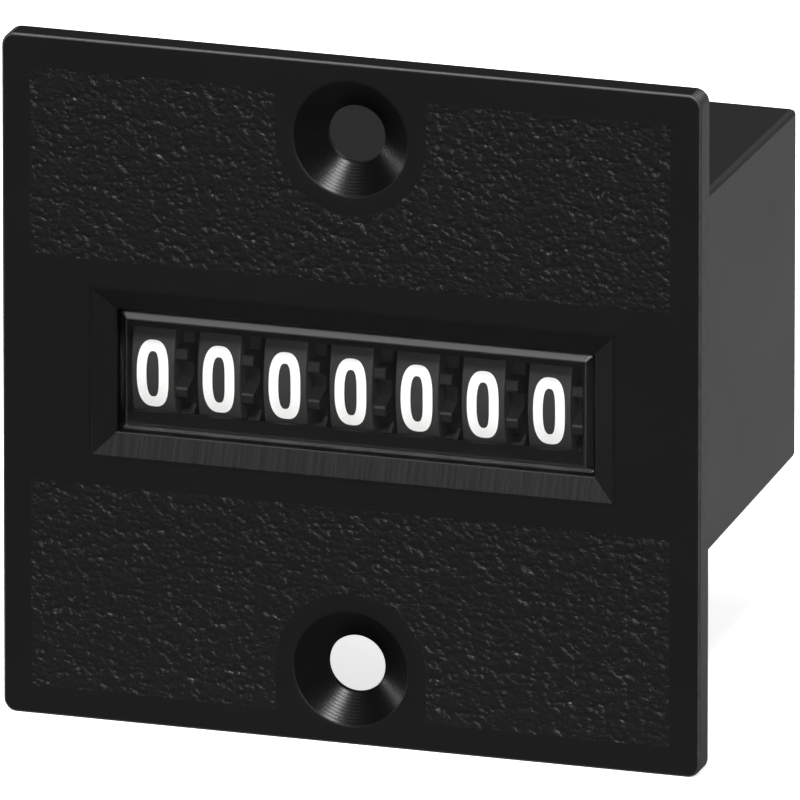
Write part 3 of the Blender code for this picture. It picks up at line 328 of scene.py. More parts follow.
def phenolicBoard():
    # paper-base phenolic laminate, sawn and drilled: brown, with paper fibres under the resin
    made, tree, shader = newMaterial("phenolicPaperBoard", {"IOR": 1.6, "Specular IOR Level": 0.4})
    coords = objectCoords(tree, (0.25, 1.0, 1.0))
    fibres = addNode(tree, "ShaderNodeTexNoise",
                     {"Scale": perMetre(0.22), "Detail": 6.0, "Roughness": 0.65},
                     {"Vector": coords})
    tone = addNode(tree, "ShaderNodeMix",
                   {"data_type": "RGBA", "A": hexColour("#4a2a16"), "B": hexColour("#8a5a34")},
                   {"Factor": fibres.outputs["Fac"]})
    tree.links.new(tone.outputs["Result"], shader.inputs["Base Color"])
    roughnessSpread(tree, shader, coords, 1.2, 0.35, 0.5)
    addBump(tree, shader, fibres.outputs["Fac"], 0.012)
    return made


def metalFinish(name, tones, roughness, grain, stretch, depth):
    # bare or plated metal: two tones for the patchy plating, and a grain along the way it was worked
    made, tree, shader = newMaterial(name, {"Metallic": 1.0})
    coords = objectCoords(tree, stretch)
    patches = addNode(tree, "ShaderNodeTexNoise", {"Scale": perMetre(2.2), "Detail": 4.0},
                      {"Vector": coords})
    tone = addNode(tree, "ShaderNodeMix",
                   {"data_type": "RGBA", "A": hexColour(tones[0]), "B": hexColour(tones[1])},
                   {"Factor": patches.outputs["Fac"]})
    tree.links.new(tone.outputs["Result"], shader.inputs["Base Color"])
    roughnessSpread(tree, shader, coords, 1.0, *roughness)
    marks = addNode(tree, "ShaderNodeTexNoise", {"Scale": perMetre(grain), "Detail": 3.0},
                    {"Vector": coords})
    addBump(tree, shader, marks.outputs["Fac"], depth)
    return made


def enamelledWinding():
    # enamelled copper wire wound in layers: fine round turns with a varnish gloss
    made, tree, shader = newMaterial("enamelledCopperWinding", {
        "Metallic": 1.0, "Coat Weight": 0.6, "Coat Roughness": 0.12})
    coords = objectCoords(tree)
    turns = addNode(tree, "ShaderNodeTexWave",
                    {"wave_type": "BANDS", "bands_direction": "X", "wave_profile": "SIN",
                     "Scale": perMetre(0.22) / 20.0, "Distortion": 0.3, "Detail": 1.0},
                    {"Vector": coords})     # 0.1 wire drawn 0.22 apart so that the turns show
    tone = addNode(tree, "ShaderNodeMix",
                   {"data_type": "RGBA", "A": hexColour("#7a3216"), "B": hexColour("#c8703a")},
                   {"Factor": turns.outputs["Fac"]})
    tree.links.new(tone.outputs["Result"], shader.inputs["Base Color"])
    roughnessSpread(tree, shader, coords, 1.0, 0.25, 0.38)
    addBump(tree, shader, turns.outputs["Fac"], 0.05)
    return made


def pvcSleeve(name, dark, light):
    # extruded PVC insulation: a smooth, slightly oily skin
    made, tree, shader = newMaterial(name, {"IOR": 1.53, "Specular IOR Level": 0.45})
    coords = objectCoords(tree)
    skin = addNode(tree, "ShaderNodeTexNoise", {"Scale": perMetre(0.5), "Detail": 3.0},
                   {"Vector": coords})
    tone = addNode(tree, "ShaderNodeMix",
                   {"data_type": "RGBA", "A": hexColour(dark), "B": hexColour(light)},
                   {"Factor": skin.outputs["Fac"]})
    tree.links.new(tone.outputs["Result"], shader.inputs["Base Color"])
    roughnessSpread(tree, shader, coords, 0.8, 0.35, 0.5)
    addBump(tree, shader, skin.outputs["Fac"], 0.01)
    return made


finishes = {
    "abs": mouldedAbs(),
    "grain": leatherGrainAbs(),
    "mask": maskAbsWithPaintedShade(),
    "housing": housingAbs(),
    "bezel": bezelAbs(),
    "edge": wornEdgeAbsWithPaintedHighlight(),
    "turned": turnedAbs("turnedAbs", 20.0),
    "wheel": wheelAbs("satinGreyWheelAbs", "#252525", "#303030"),
    # the wheel plastic again, darker on the teeth and the carry disc: painted shade for their place
    # low behind the rim
    "gear": wheelAbs("gearWheelAbsWithPaintedShade", "#0f0f0f", "#181818"),
    "ink": stampedInk(),
    "clear": clearAcrylic("clearMouldedAcrylic", 0.01, 0.06),
    "clearEdge": clearAcrylic("matEdgeAcrylic", 0.05, 0.45),
    "acetal": whiteAcetal(),
    "board": phenolicBoard(),
    # hot-dip tinned brass strip: soft grey-white, rolled lengthwise
    "tinned": metalFinish("tinnedBrassStrip", ("#b9b6ab", "#d8d5ca"), (0.22, 0.4), 0.12,
                          (1.0, 0.15, 1.0), 0.004),
    # half-hard rolled brass sheet, blanked
    "brass": metalFinish("rolledBrassSheet", ("#b08a42", "#d4ad62"), (0.24, 0.38), 0.1,
                         (1.0, 1.0, 0.15), 0.004),
    # bright zinc plate on pressed steel, with its faint bluish clouding
    "zinc": metalFinish("brightZincPlatedSteel", ("#a9adb3", "#cfd3d8"), (0.2, 0.42), 0.3,
                        (1.0, 1.0, 1.0), 0.004),
    # centreless-ground steel rod, with marks running round it
    "steel": metalFinish("groundSteelRod", ("#b8b8b8", "#d6d6d6"), (0.14, 0.26), 0.06,
                         (1.0, 0.2, 0.2), 0.002),
    # annealed soft iron, blanked and flash-nickelled
    "iron": metalFinish("annealedSoftIron", ("#7d7a76", "#9b9893"), (0.32, 0.52), 0.2,
                        (1.0, 0.3, 1.0), 0.006),
    "copper": enamelledWinding(),
    "redPvc": pvcSleeve("redPvcSleeve", "#7d1210", "#9c1f1a"),
    "blackPvc": pvcSleeve("blackPvcSleeve", "#121212", "#1d1d1d"),
}
print("materials:", len(finishes))

# the CAD nodes that show as they are
nodeFinish = {
    "mask": ("digit_mask",),
    "housing": ("housing",),
    "acetal": ("ratchet_wheel", "bobbin", "pinion_millions", "pinion_hundred_thousands",
               "pinion_ten_thousands", "pinion_thousands", "pinion_hundreds", "pinion_tens"),
    "board": ("terminal_board",),
    "tinned": ("terminal_left", "terminal_right"),
    "brass": ("verge_fork",),
    "zinc": ("frame_plate_left", "frame_plate_right", "rear_crossbar",
             "frame_screw_1", "frame_screw_2", "frame_screw_3", "frame_screw_4",
             "crossbar_screw_1", "crossbar_screw_2", "crossbar_screw_3", "crossbar_screw_4",
             "pole_screw_left", "pole_screw_right"),
    "steel": ("number_shaft", "pinion_shaft", "shaft_clip_left", "shaft_clip_right",
              "armature_pin", "armature_spring"),
    "iron": ("coil_core", "pole_leg_left", "pole_leg_right", "armature"),
    "copper": ("coil_winding",),
    "redPvc": ("coil_wire_left",),
    "blackPvc": ("coil_wire_right",),
}
for finish, names in nodeFinish.items():
    for name in names:
        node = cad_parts[name]
        node.data.materials.clear()
        node.data.materials.append(finishes[finish])


# ---------- mesh building ----------

def roundedRing(halfWidth, halfHeight, radius, steps=6, centre=(0.0, 0.0)):
    # a rounded rectangle seen from the front, or a sharp one when the radius is nought
    points = []
    for signX, signZ, start in ((1, -1, 270), (1, 1, 0), (-1, 1, 90), (-1, -1, 180)):
        cornerX = centre[0] + signX * (halfWidth - radius)
        cornerZ = centre[1] + signZ * (halfHeight - radius)
        if radius <= 0:
            points.append((cornerX, cornerZ))
            continue
        for step in range(steps + 1):
            angle = math.radians(start + 90 * step / steps)
            points.append((cornerX + radius * math.cos(angle),
                           cornerZ + radius * math.sin(angle)))
    return points


def circleRing(radius, centre=(0.0, 0.0), count=96):
    return [(centre[0] + radius * math.cos(math.tau * i / count),
             centre[1] + radius * math.sin(math.tau * i / count)) for i in range(count)]


def softCorners(points, radius, steps=4):
    # a section line with each inner corner rounded to the radius
    smooth = [points[0]]
    for before, corner, after in zip(points, points[1:], points[2:]):
        corner = Vector(corner)
        inward = Vector(before) - corner
        onward = Vector(after) - corner
        half = inward.angle(onward) / 2
        reach = min(radius / math.tan(half), inward.length * 0.45, onward.length * 0.45)
        start = corner + inward.normalized() * reach
        end = corner + onward.normalized() * reach
        for step in range(steps + 1):
            t = step / steps
            smooth.append(tuple(start * (1 - t) ** 2 + corner * 2 * t * (1 - t) + end * t ** 2))
    smooth.append(points[-1])
    return smooth


def sweep(bm, ring, section, surface=0):
    # carries a ring along a section of (offset, y) pairs and skins it
    rows = [[bm.verts.new((x * mm, y * mm, z * mm)) for x, z in ring(offset)]
            for offset, y in section]
    for low, high in zip(rows, rows[1:]):
        for i in range(len(low)):
            j = (i + 1) % len(low)
            face = bm.faces.new((low[i], low[j], high[j], high[i]))
            face.material_index = surface
    return rows


def offsetRing(outline, offset):
    # an outline that runs anticlockwise, moved outwards; corners keep their mitre
    moved = []
    for i, point in enumerate(outline):
        before, after = outline[i - 1], outline[(i + 1) % len(outline)]
        sides = [Vector((b[1] - a[1], a[0] - b[0])).normalized()
                 for a, b in ((before, point), (point, after)) if math.dist(a, b) > 1e-9]
        normal = sum(sides, Vector((0.0, 0.0))).normalized()
        reach = offset / max(0.5, normal.dot(sides[0]))
        moved.append((point[0] + normal.x * reach, point[1] + normal.y * reach))
    return moved


def turnsLeft(outline):
    return sum(a[0] * b[1] - b[0] * a[1] for a, b in zip(outline, outline[1:] + outline[:1])) > 0


def isInside(x, z, outline):
    hit = False
    for (ax, az), (bx, bz) in zip(outline, outline[1:] + outline[:1]):
        if (az > z) != (bz > z) and x < (bx - ax) * (z - az) / (bz - az) + ax:
            hit = not hit
    return hit


def fillFlat(bm, y, outer, holes=(), surface=0):
    # a flat face between outlines
    points, edges = [], []
    for outline in [outer, *holes]:
        first = len(points)
        points += [Vector(p) for p in outline]
        edges += [(first + i, first + (i + 1) % len(outline)) for i in range(len(outline))]
    made = delaunay_2d_cdt(points, edges, [], 0, 1e-6)
    verts = [bm.verts.new((p.x * mm, y * mm, p.y * mm)) for p in made[0]]
    for corners in made[2]:
        x = sum(made[0][i].x for i in corners) / len(corners)
        z = sum(made[0][i].y for i in corners) / len(corners)
        if not isInside(x, z, outer) or any(isInside(x, z, hole) for hole in holes):
            continue
        bm.faces.new([verts[i] for i in corners]).material_index = surface
    for vert in verts:
        if not vert.link_faces:
            bm.verts.remove(vert)


def finishPiece(bm, name, surfaces, body, replaced=(), sharp=35):
    bmesh.ops.remove_doubles(bm, verts=bm.verts[:], dist=1e-7)
    bmesh.ops.dissolve_degenerate(bm, edges=bm.edges[:], dist=1e-8)
    bmesh.ops.recalc_face_normals(bm, faces=bm.faces[:])
    mesh = bpy.data.meshes.new(name)
    bm.to_mesh(mesh)
    bm.free()
    for surface in surfaces:
        mesh.materials.append(finishes[surface])
    mesh.shade_smooth()
    mesh.set_sharp_from_angle(angle=math.radians(sharp))
    piece = bpy.data.objects.new(name, mesh)
    bpy.context.scene.collection.objects.link(piece)
    weighted = piece.modifiers.new("flatFacesStayFlat", "WEIGHTED_NORMAL")
    weighted.keep_sharp = True
    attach(piece, body)
    if replaced:
        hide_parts(*replaced)
    return piece


# ---------- front plate ----------

plateSizes = {
    "corner": 1.0,
    "edge": 0.3,            # rounding round the front
    "backEdge": 0.1,
    "holeZ": 20.0,
    "hole": 2.15,           # clearance for M4
    "countersink": 4.35,
    "countersinkDepth": 1.5,
    "window": (0.1, 0.7),   # its middle
    "opening": (18.05, 4.625),
    "bezelRun": 1.65,
    "bezelDepth": 0.85,
    "lip": 0.2,             # rounding on the window's edges
    "fieldX": (-24.4, 24.2),
    "topField": (9.0, 23.4),
    "bottomField": (-7.7, -23.7),
    "smoothRound": 5.55,    # the plain patch round each screw
    "fieldDrop": 0.02,      # the fields lie this far below the border round them
    "fieldSlope": 0.15,
    "step": (22.5, 13.9, 0.1),
    "collar": (20.85, 12.25, 3.0, 1.0),
    "bosses": (16.0, 8.8, 1.7, 1.0),    # x, z, radius and height of the four screw bosses
}


def grainField(nearZ, farZ, holeZ):
    left, right = plateSizes["fieldX"]
    radius = plateSizes["smoothRound"]
    up = 1 if farZ > nearZ else -1
    points = [(left, nearZ), (right, nearZ), (right, farZ), (radius, farZ), (radius, holeZ)]
    for step in range(1, 32):
        angle = math.pi * step / 32
        points.append((radius * math.cos(angle), holeZ - up * radius * math.sin(angle)))
    points += [(-radius, holeZ), (-radius, farZ), (left, farZ)]
    return points if turnsLeft(points) else points[::-1]


def buildPlate():
    s = plateSizes
    low, high = nodeBox("front_plate")
    halfWidth, halfHeight, front = high[0], high[2], low[1]
    window = s["window"]
    bm = bmesh.new()

    def outerRing(offset):
        return roundedRing(halfWidth + offset, halfHeight + offset, s["corner"] + offset, 8)

    outside = softCorners([(-s["edge"] * 2, front), (0.0, front), (0.0, 0.0),
                           (-s["backEdge"] * 2, 0.0)], s["edge"], 5)
    sweep(bm, outerRing, outside, 4)
    for face in bm.faces:
        face.normal_update()
        if abs(face.normal.z) > 0.98 or abs(face.normal.y) > 0.96:
            face.material_index = 0     # only the rounding and the side walls get the paler rim tone, partly wear and partly painted highlight; the top and bottom walls stay plate black

    def windowRing(offset):
        return roundedRing(s["opening"][0] + offset, s["opening"][1] + offset, 0.0, 0, window)

    floorY = front + s["bezelDepth"]
    bezel = softCorners([(s["bezelRun"] + 0.25, front), (s["bezelRun"], front), (0.0, floorY),
                         (0.0, 0.0)], s["lip"], 3)
    sweep(bm, windowRing, bezel, 3)

    holes = []
    for z in (-s["holeZ"], s["holeZ"]):
        def holeRing(offset, z=z):
            return circleRing(s["hole"] + offset, (0.0, z))

        wide = s["countersink"] - s["hole"]
        lipOut = [(wide + 0.12, front), (wide + 0.03, front + 0.012), (wide - 0.06, front + 0.06)]
        cone = [(wide - 0.06, front + 0.06), (0.03, front + s["countersinkDepth"] - 0.02)]
        bore = [(0.03, front + s["countersinkDepth"] - 0.02),
                (0.0, front + s["countersinkDepth"] + 0.04), (0.0, -0.1), (0.08, 0.0)]
        sweep(bm, holeRing, lipOut, 0)
        sweep(bm, holeRing, cone, 2)
        sweep(bm, holeRing, bore, 0)
        holes.append((holeRing(wide + 0.12), holeRing(0.08)))

    fields = []
    for edges, holeZ in ((s["topField"], s["holeZ"]), (s["bottomField"], -s["holeZ"])):
        outline = grainField(*edges, holeZ)
        floor = offsetRing(outline, -s["fieldSlope"])
        sweep(bm, lambda offset: outline if offset == 0.0 else offsetRing(outline, offset),
              [(0.0, front), (-s["fieldSlope"], front + s["fieldDrop"])])
        fillFlat(bm, front + s["fieldDrop"], floor, (), 1)
        fields.append(outline)
    fillFlat(bm, front, outerRing(-s["edge"] * 2),
             [windowRing(s["bezelRun"] + 0.25), holes[0][0], holes[1][0], *fields])

    # the back: a step that the housing butts on, and the collar that it slides over
    stepX, stepZ, stepHigh = s["step"]
    collarX, collarZ, collarLong, wall = s["collar"]
    stepRing = roundedRing(stepX, stepZ, 0.0)
    inner = roundedRing(collarX - wall, collarZ - wall, 0.0)
    fillFlat(bm, 0.0, outerRing(-s["backEdge"] * 2), [stepRing, holes[0][1], holes[1][1]])
    sweep(bm, lambda offset: stepRing, [(0.0, 0.0), (0.0, stepHigh)])
    fillFlat(bm, stepHigh, stepRing, [roundedRing(collarX, collarZ, 0.0)])
    sweep(bm, lambda offset: roundedRing(collarX + offset, collarZ + offset, 0.0),
          softCorners([(0.0, stepHigh), (0.0, collarLong), (-wall, collarLong), (-wall, 0.0)],
                      0.2, 2))
    fillFlat(bm, 0.0, inner, [windowRing(0.0)])
    bossX, bossZ, bossRadius, bossHigh = s["bosses"]
    for x, z in ((-bossX, -bossZ), (bossX, -bossZ), (-bossX, bossZ), (bossX, bossZ)):
        def bossRing(radius, x=x, z=z):
            return circleRing(radius, (x, z), 32)

        boss = sweep(bm, bossRing, [(bossRadius, 0.0), (bossRadius, bossHigh - 0.1),
                                    (bossRadius - 0.1, bossHigh), (bossRadius / 2, bossHigh),
                                    (bossRadius / 2, 0.1)])
        bm.faces.new(boss[-1])
    return finishPiece(bm, "facePlate", ("abs", "grain", "turned", "bezel", "edge"), "case",
                       ("front_plate",), sharp=28)


buildPlate()
print("front plate built")


# ---------- window pane ----------

paneSizes = {"chamfer": (0.5, 0.3), "opening": (17.9, 4.475), "flange": 1.0, "front": -1.1,
             "rear": 0.5}


def buildPane():
    s = paneSizes
    low, high = nodeBox("window_pane")
    centre = ((low[0] + high[0]) / 2, (low[2] + high[2]) / 2)
    halfX, halfZ = s["opening"]
    bm = bmesh.new()

    def ring(offset):
        radius = max(0.05, 0.3 + min(offset, 0.0) * 0.4)
        return roundedRing(halfX + offset, halfZ + offset, radius, 3, centre)

    run, depth = s["chamfer"]
    side = softCorners([(-run - 0.1, s["front"]), (-run, s["front"]),
                        (0.0, s["front"] + depth), (0.0, 0.1), (s["flange"] - 0.1, 0.1),
                        (s["flange"] - 0.1, s["rear"])], 0.05, 2)
    rows = sweep(bm, ring, side, 1)
    for face in bm.faces:
        face.normal_update()
        if abs(face.normal.x) > 0.95:
            face.material_index = 2     # the end walls get the mask's flat black: painted shade for the dark gap at the window's ends
        elif abs(face.normal.x) > 0.4:
            face.material_index = 0
    bm.faces.new(rows[0])
    bm.faces.new(rows[-1])
    return finishPiece(bm, "clearPane", ("clear", "clearEdge", "mask"), "case", ("window_pane",), 30)


buildPane()
print("window pane built")


# ---------- number wheels and their figures ----------

wheelSizes = {
    "radius": 9.5,
    "halfWidth": 1.625,
    "edge": 0.14,
    "bore": 1.55,
    "teeth": 20,
    "gearEnd": 2.525,
    "tip": 9.18,
    "root": 7.565,
    "rootShare": 0.58,      # tooth thickness over tooth pitch
    "tipShare": 0.24,
    "firstTooth": 9.0,
    "discEnd": -2.275,
    "disc": (7.72, 7.27),   # its tip and root
    "discTeeth": (16, 17),
}

figureSizes = {
    "half": (1.2, 2.55),      # half the width and height of a figure
    "counter": (0.47, 1.73),    # half the hole in a nought
    "stroke": 0.78,
    "roundness": 2.7,           # 2 is an ellipse
    "raised": 0.014,            # the foil's thickness on the rim
    "first": 180.45,            # where the nought sits, in degrees from the rear
}


def oval(halfX, halfZ, power, centre=(0.0, 0.0), start=0.0, end=360.0, count=48):
    points = []
    for i in range(count + 1):
        angle = math.radians(start + (end - start) * i / count)
        c, s = math.cos(angle), math.sin(angle)
        points.append((centre[0] + math.copysign(abs(c) ** (2 / power), c) * halfX,
                       centre[1] + math.copysign(abs(s) ** (2 / power), s) * halfZ))
    return points


def figureStrokes(figure):
    # the middle line of each stroke; a closed one repeats its first point
    w = figureSizes["half"][0] - figureSizes["stroke"] / 2
    h = figureSizes["half"][1] - figureSizes["stroke"] / 2
    top = h + figureSizes["stroke"] / 2
    if figure == 1:
        return [[(-w, h * 0.55), (0.15, h), (0.15, -top)]]
    if figure == 2:
        return [oval(w, h * 0.52, 2.2, (0, h * 0.48), 180, -20, 24) + [(-w, -h), (w * 1.2, -h)]]
    if figure == 3:
        return [oval(w, h * 0.5, 2.2, (0, h * 0.5), 160, -80, 24) + [(-0.2, h * 0.06)],
                [(-0.2, h * 0.06)] + oval(w, h * 0.52, 2.2, (0, -h * 0.48), 80, -160, 24)]
    if figure == 4:
        return [[(0.35, top), (-w * 1.1, -h * 0.42), (w * 1.3, -h * 0.42)],
                [(0.42, h * 0.25), (0.42, -top)]]
    if figure == 5:
        return [[(w, h), (-w * 0.85, h), (-w * 0.95, h * 0.12)]
                + oval(w, h * 0.55, 2.2, (0, -h * 0.45), 120, -160, 24)]
    if figure == 6:
        bowl = oval(w, h * 0.52, 2.3, (0, -h * 0.48), 0, 360, 40)
        return [bowl, oval(w, h, 2.5, (0, 0), 40, 180, 20) + [(-w, -h * 0.5)]]
    if figure == 7:
        return [[(-w, h), (w, h), (-w * 0.25, -top)]]
    if figure == 8:
        return [oval(w * 0.88, h * 0.46, 2.3, (0, h * 0.54)),
                oval(w, h * 0.52, 2.3, (0, -h * 0.48))]
    if figure == 9:
        return [[(-x, -z) for x, z in line] for line in figureStrokes(6)]
    return []


def evenly(line, step=0.16):
    # more points along the straight runs, so that the figure follows the rim
    dense = [line[0]]
    for a, b in zip(line, line[1:]):
        count = max(1, math.ceil(math.dist(a, b) / step))
        dense += [(a[0] + (b[0] - a[0]) * i / count, a[1] + (b[1] - a[1]) * i / count)
                  for i in range(1, count + 1)]
    return dense


def strokeEdges(line, width):
    # both edges of a stroke, mitred at its corners
    closed = math.dist(line[0], line[-1]) < 1e-6
    left, right = [], []
    for i, point in enumerate(line):
        before = line[i - 1] if i > 0 else (line[-2] if closed else None)
        after = line[i + 1] if i < len(line) - 1 else (line[1] if closed else None)
        sides = []
        for a, b in ((before, point), (point, after)):
            if a is not None and b is not None and math.dist(a, b) > 1e-9:
                sides.append(Vector((a[1] - b[1], b[0] - a[0])).normalized())
        normal = sum(sides, Vector((0.0, 0.0))).normalized()
        reach = width / 2 / max(0.5, normal.dot(sides[0]))
        left.append((point[0] + normal.x * reach, point[1] + normal.y * reach))
        right.append((point[0] - normal.x * reach, point[1] - normal.y * reach))
    return left, right


def addFigure(bm, figure, angle):
    # angle is where the figure's middle lies, from +Y towards +Z
    radius = wheelSizes["radius"] + figureSizes["raised"]

    def onRim(x, z, lift=0.0):
        turn = math.radians(angle) - z / wheelSizes["radius"]
        return bm.verts.new((x * mm, (radius + lift) * math.cos(turn) * mm,
                             (radius + lift) * math.sin(turn) * mm))

    if figure == 0:
        bands = [(evenly(oval(*figureSizes["half"], figureSizes["roundness"], count=72), 9.0),
                  oval(*figureSizes["counter"], figureSizes["roundness"] + 0.1, count=72))]
    else:
        bands = [strokeEdges(evenly(line), figureSizes["stroke"])
                 for line in figureStrokes(figure)]
    for level, (outside, inside) in enumerate(bands):
        lift = level * 0.003
        rows = [(onRim(*a, lift), onRim(*b, lift)) for a, b in zip(outside, inside)]
        for (a, b), (c, d) in zip(rows, rows[1:]):
            face = bm.faces.new((a, b, d, c))
            face.material_index = 1
            face.normal_update()
            middle = face.calc_center_median()
            if face.normal.dot(Vector((0.0, middle.y, middle.z))) < 0:
                face.normal_flip()


def toothedRing(teeth, tip, root, first, present=None, steps=3):
    # points of a gear's outline as (radius, degrees)
    pitch = 360.0 / teeth
    points = []
    for tooth in range(teeth):
        middle = first + tooth * pitch
        if present is not None and tooth not in present:
            points += [(root, middle - pitch * 0.25), (root, middle + pitch * 0.25)]
            continue
        rootHalf = wheelSizes["rootShare"] * pitch / 2
        tipHalf = wheelSizes["tipShare"] * pitch / 2
        points += [(root, middle - rootHalf), (tip - 0.12, middle - tipHalf * 1.25),
                   (tip, middle - tipHalf * 0.8), (tip, middle + tipHalf * 0.8),
                   (tip - 0.12, middle + tipHalf * 1.25), (root, middle + rootHalf)]
    return points


def addToothedDisc(bm, points, near, far, edge):
    # a toothed slab between two values of X, its far edge softened; near is buried in the rim
    rows = []
    for x, shrink in ((near, 0.0), (far - math.copysign(edge, far), 0.0), (far, edge)):
        rows.append([bm.verts.new((x * mm, (r - shrink) * math.cos(math.radians(a)) * mm,
                                   (r - shrink) * math.sin(math.radians(a)) * mm))
                     for r, a in points])
    for low, high in zip(rows, rows[1:]):
        for i in range(len(low)):
            j = (i + 1) % len(low)
            # slot 2 is the darker copy of the wheel plastic: painted shade
            bm.faces.new((low[i], low[j], high[j], high[i])).material_index = 2
    bore = [bm.verts.new((far * mm, wheelSizes["bore"] * math.cos(math.radians(a)) * mm,
                          wheelSizes["bore"] * math.sin(math.radians(a)) * mm))
            for r, a in points]
    for i in range(len(bore)):
        j = (i + 1) % len(bore)
        bm.faces.new((rows[-1][i], rows[-1][j], bore[j], bore[i])).material_index = 2


def lathe(bm, x, radius, count):
    # a ring of points round the drum's axis
    return [bm.verts.new((x * mm, radius * math.cos(math.tau * i / count) * mm,
                          radius * math.sin(math.tau * i / count) * mm)) for i in range(count)]


def joinRings(bm, low, high):
    for i in range(len(low)):
        j = (i + 1) % len(low)
        bm.faces.new((low[i], high[i], high[j], low[j]))


def wheelBody(bm, carries, count=120):
    s = wheelSizes
    half, radius, bore = s["halfWidth"], s["radius"], s["bore"]
    left = s["discEnd"] if carries else -half
    section = softCorners([(-half, bore), (-half, radius), (half, radius), (half, bore)],
                          s["edge"], 4)
    rows = [lathe(bm, x, r, count) for x, r in section]
    for low, high in zip(rows, rows[1:]):
        joinRings(bm, low, high)
    gear = toothedRing(s["teeth"], s["tip"], s["root"], s["firstTooth"])
    addToothedDisc(bm, gear, half - 0.3, s["gearEnd"], 0.06)
    if carries:
        disc = toothedRing(s["teeth"], *s["disc"], s["firstTooth"], s["discTeeth"])
        addToothedDisc(bm, disc, -half + 0.3, left, 0.06)
    joinRings(bm, lathe(bm, left, bore, 48), lathe(bm, s["gearEnd"], bore, 48))


wheelOrder = ("millions", "hundred_thousands", "ten_thousands", "thousands",
              "hundreds", "tens", "units")


def buildWheels():
    # the rim's middle: the CAD wheels differ in width, so it comes from the gear's end
    for index, order in enumerate(wheelOrder):
        node = "wheel_" + order
        low, high = nodeBox(node)
        middleX = high[0] - wheelSizes["gearEnd"]
        middleY, middleZ = (low[1] + high[1]) / 2, (low[2] + high[2]) / 2
        bm = bmesh.new()
        wheelBody(bm, carries=index > 0)
        bmesh.ops.recalc_face_normals(bm, faces=bm.faces[:])
        for figure in range(10):
            addFigure(bm, figure, figureSizes["first"] + 36.0 * figure)
        bmesh.ops.translate(bm, verts=bm.verts[:],
                            vec=(middleX * mm, middleY * mm, middleZ * mm))
        mesh = bpy.data.meshes.new("numberWheel_" + order)
        bm.to_mesh(mesh)
        bm.free()
        mesh.materials.append(finishes["wheel"])
        mesh.materials.append(finishes["ink"])
        mesh.materials.append(finishes["gear"])
        mesh.shade_smooth()
        mesh.set_sharp_from_angle(angle=math.radians(30))
        wheel = bpy.data.objects.new("numberWheel_" + order, mesh)
        bpy.context.scene.collection.objects.link(wheel)
        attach(wheel, order + "_wheel")
        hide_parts(node)


buildWheels()
print("number wheels built:", len(wheelOrder))


# ---------- screws at the rear ----------

screwSizes = {
    "board": {"head": 1.6, "high": 0.9, "thread": 0.8, "long": 2.7, "slot": (0.42, 0.4)},
    "housing": {"head": 2.0, "high": 0.9, "thread": 1.0, "long": 5.4, "slot": (0.5, 0.45)},
}


def cutSlot(piece, rear, centre, head, slot, turn):
    # a screwdriver slot across the head, cut with a box
    bm = bmesh.new()
    bmesh.ops.create_cube(bm, size=1.0)
    bmesh.ops.scale(bm, verts=bm.verts[:], vec=(head * 3 * mm, slot[1] * 2 * mm, slot[0] * mm))
    bmesh.ops.rotate(bm, verts=bm.verts[:], matrix=Matrix.Rotation(math.radians(turn), 3, "Y"))
    bmesh.ops.translate(bm, verts=bm.verts[:], vec=(centre[0] * mm, rear * mm, centre[1] * mm))
    mesh = bpy.data.meshes.new("slotCutter")
    bm.to_mesh(mesh)
    bm.free()
    cutter = bpy.data.objects.new("slotCutter", mesh)
    bpy.context.scene.collection.objects.link(cutter)
    cut = piece.modifiers.new("slot", "BOOLEAN")
    cut.object = cutter
    cut.solver = "EXACT"
    cut.material_mode = "INDEX"
    shown = piece.evaluated_get(bpy.context.evaluated_depsgraph_get())
    slotted = bpy.data.meshes.new_from_object(shown)
    slotted.set_sharp_from_angle(angle=math.radians(30))
    piece.modifiers.clear()
    piece.data = slotted
    bpy.data.objects.remove(cutter)


def buildScrew(node, sizes, turn):
    low, high = nodeBox(node)
    centre = ((low[0] + high[0]) / 2, (low[2] + high[2]) / 2)
    rear = high[1]
    seat = rear - sizes["high"]
    head, thread, tip = sizes["head"], sizes["thread"], seat - sizes["long"]
    bm = bmesh.new()
    dome = softCorners([(0.0, seat), (head, seat), (head, rear - 0.35), (head * 0.65, rear),
                        (head * 0.02, rear)], 0.25, 4)
    outline = [(thread * 0.6, tip), (thread, tip + 0.3), (thread, seat), *dome[1:]]
    rows = sweep(bm, lambda radius: circleRing(radius, centre, 64), outline)
    bm.faces.new(rows[0])
    bm.faces.new(rows[-1])
    piece = finishPiece(bm, node + "_turned", ("zinc",), "case", (node,), 30)
    cutSlot(piece, rear, centre, head, sizes["slot"], turn)


for side, turn in (("left", 24.0), ("right", -38.0)):
    buildScrew("board_screw_" + side, screwSizes["board"], turn)
    buildScrew("housing_screw_" + side, screwSizes["housing"], turn * 2)
print("rear screws built")


# ---------- floor, lights and camera ----------

studio = {
    "floor": "#f7f7f7",
    "paintedReflectionFront": "#686868",     # painted reflection: to all but the camera the floor before the object is this dark grey, which keeps the plate's face black in the gloss
    "paintedReflectionRear": "#969696",
    "paintedReflectionEdge": (-0.03, 0.03),  # where the painted dark front tone ends, in metres behind the plate
    "floorGlow": 0.75,          # the floor glows this much for camera rays: painted light that lifts its shadows
    "world": 0.1,
    "key": {"towards": (0.14, -0.67, 0.729), "distance": 2.0, "size": 0.46, "power": 54.0},
    "left": {"towards": (-0.93, -0.33, 0.0), "distance": 2.0, "size": 0.34, "power": 12.0},
    "right": {"towards": (0.93, -0.28, 0.05), "distance": 2.0, "size": 0.3, "power": 5.0},
    "over": {"towards": (-0.28, -0.25, 0.93), "distance": 2.0, "size": 0.8, "power": 31.0},
    "front": {"towards": (0.25, -0.96, 0.1), "distance": 2.0, "size": 0.6, "power": 13.0},
    "rear": {"towards": (0.35, 0.75, 0.56), "distance": 2.2, "size": 1.0, "power": 10.0},
}


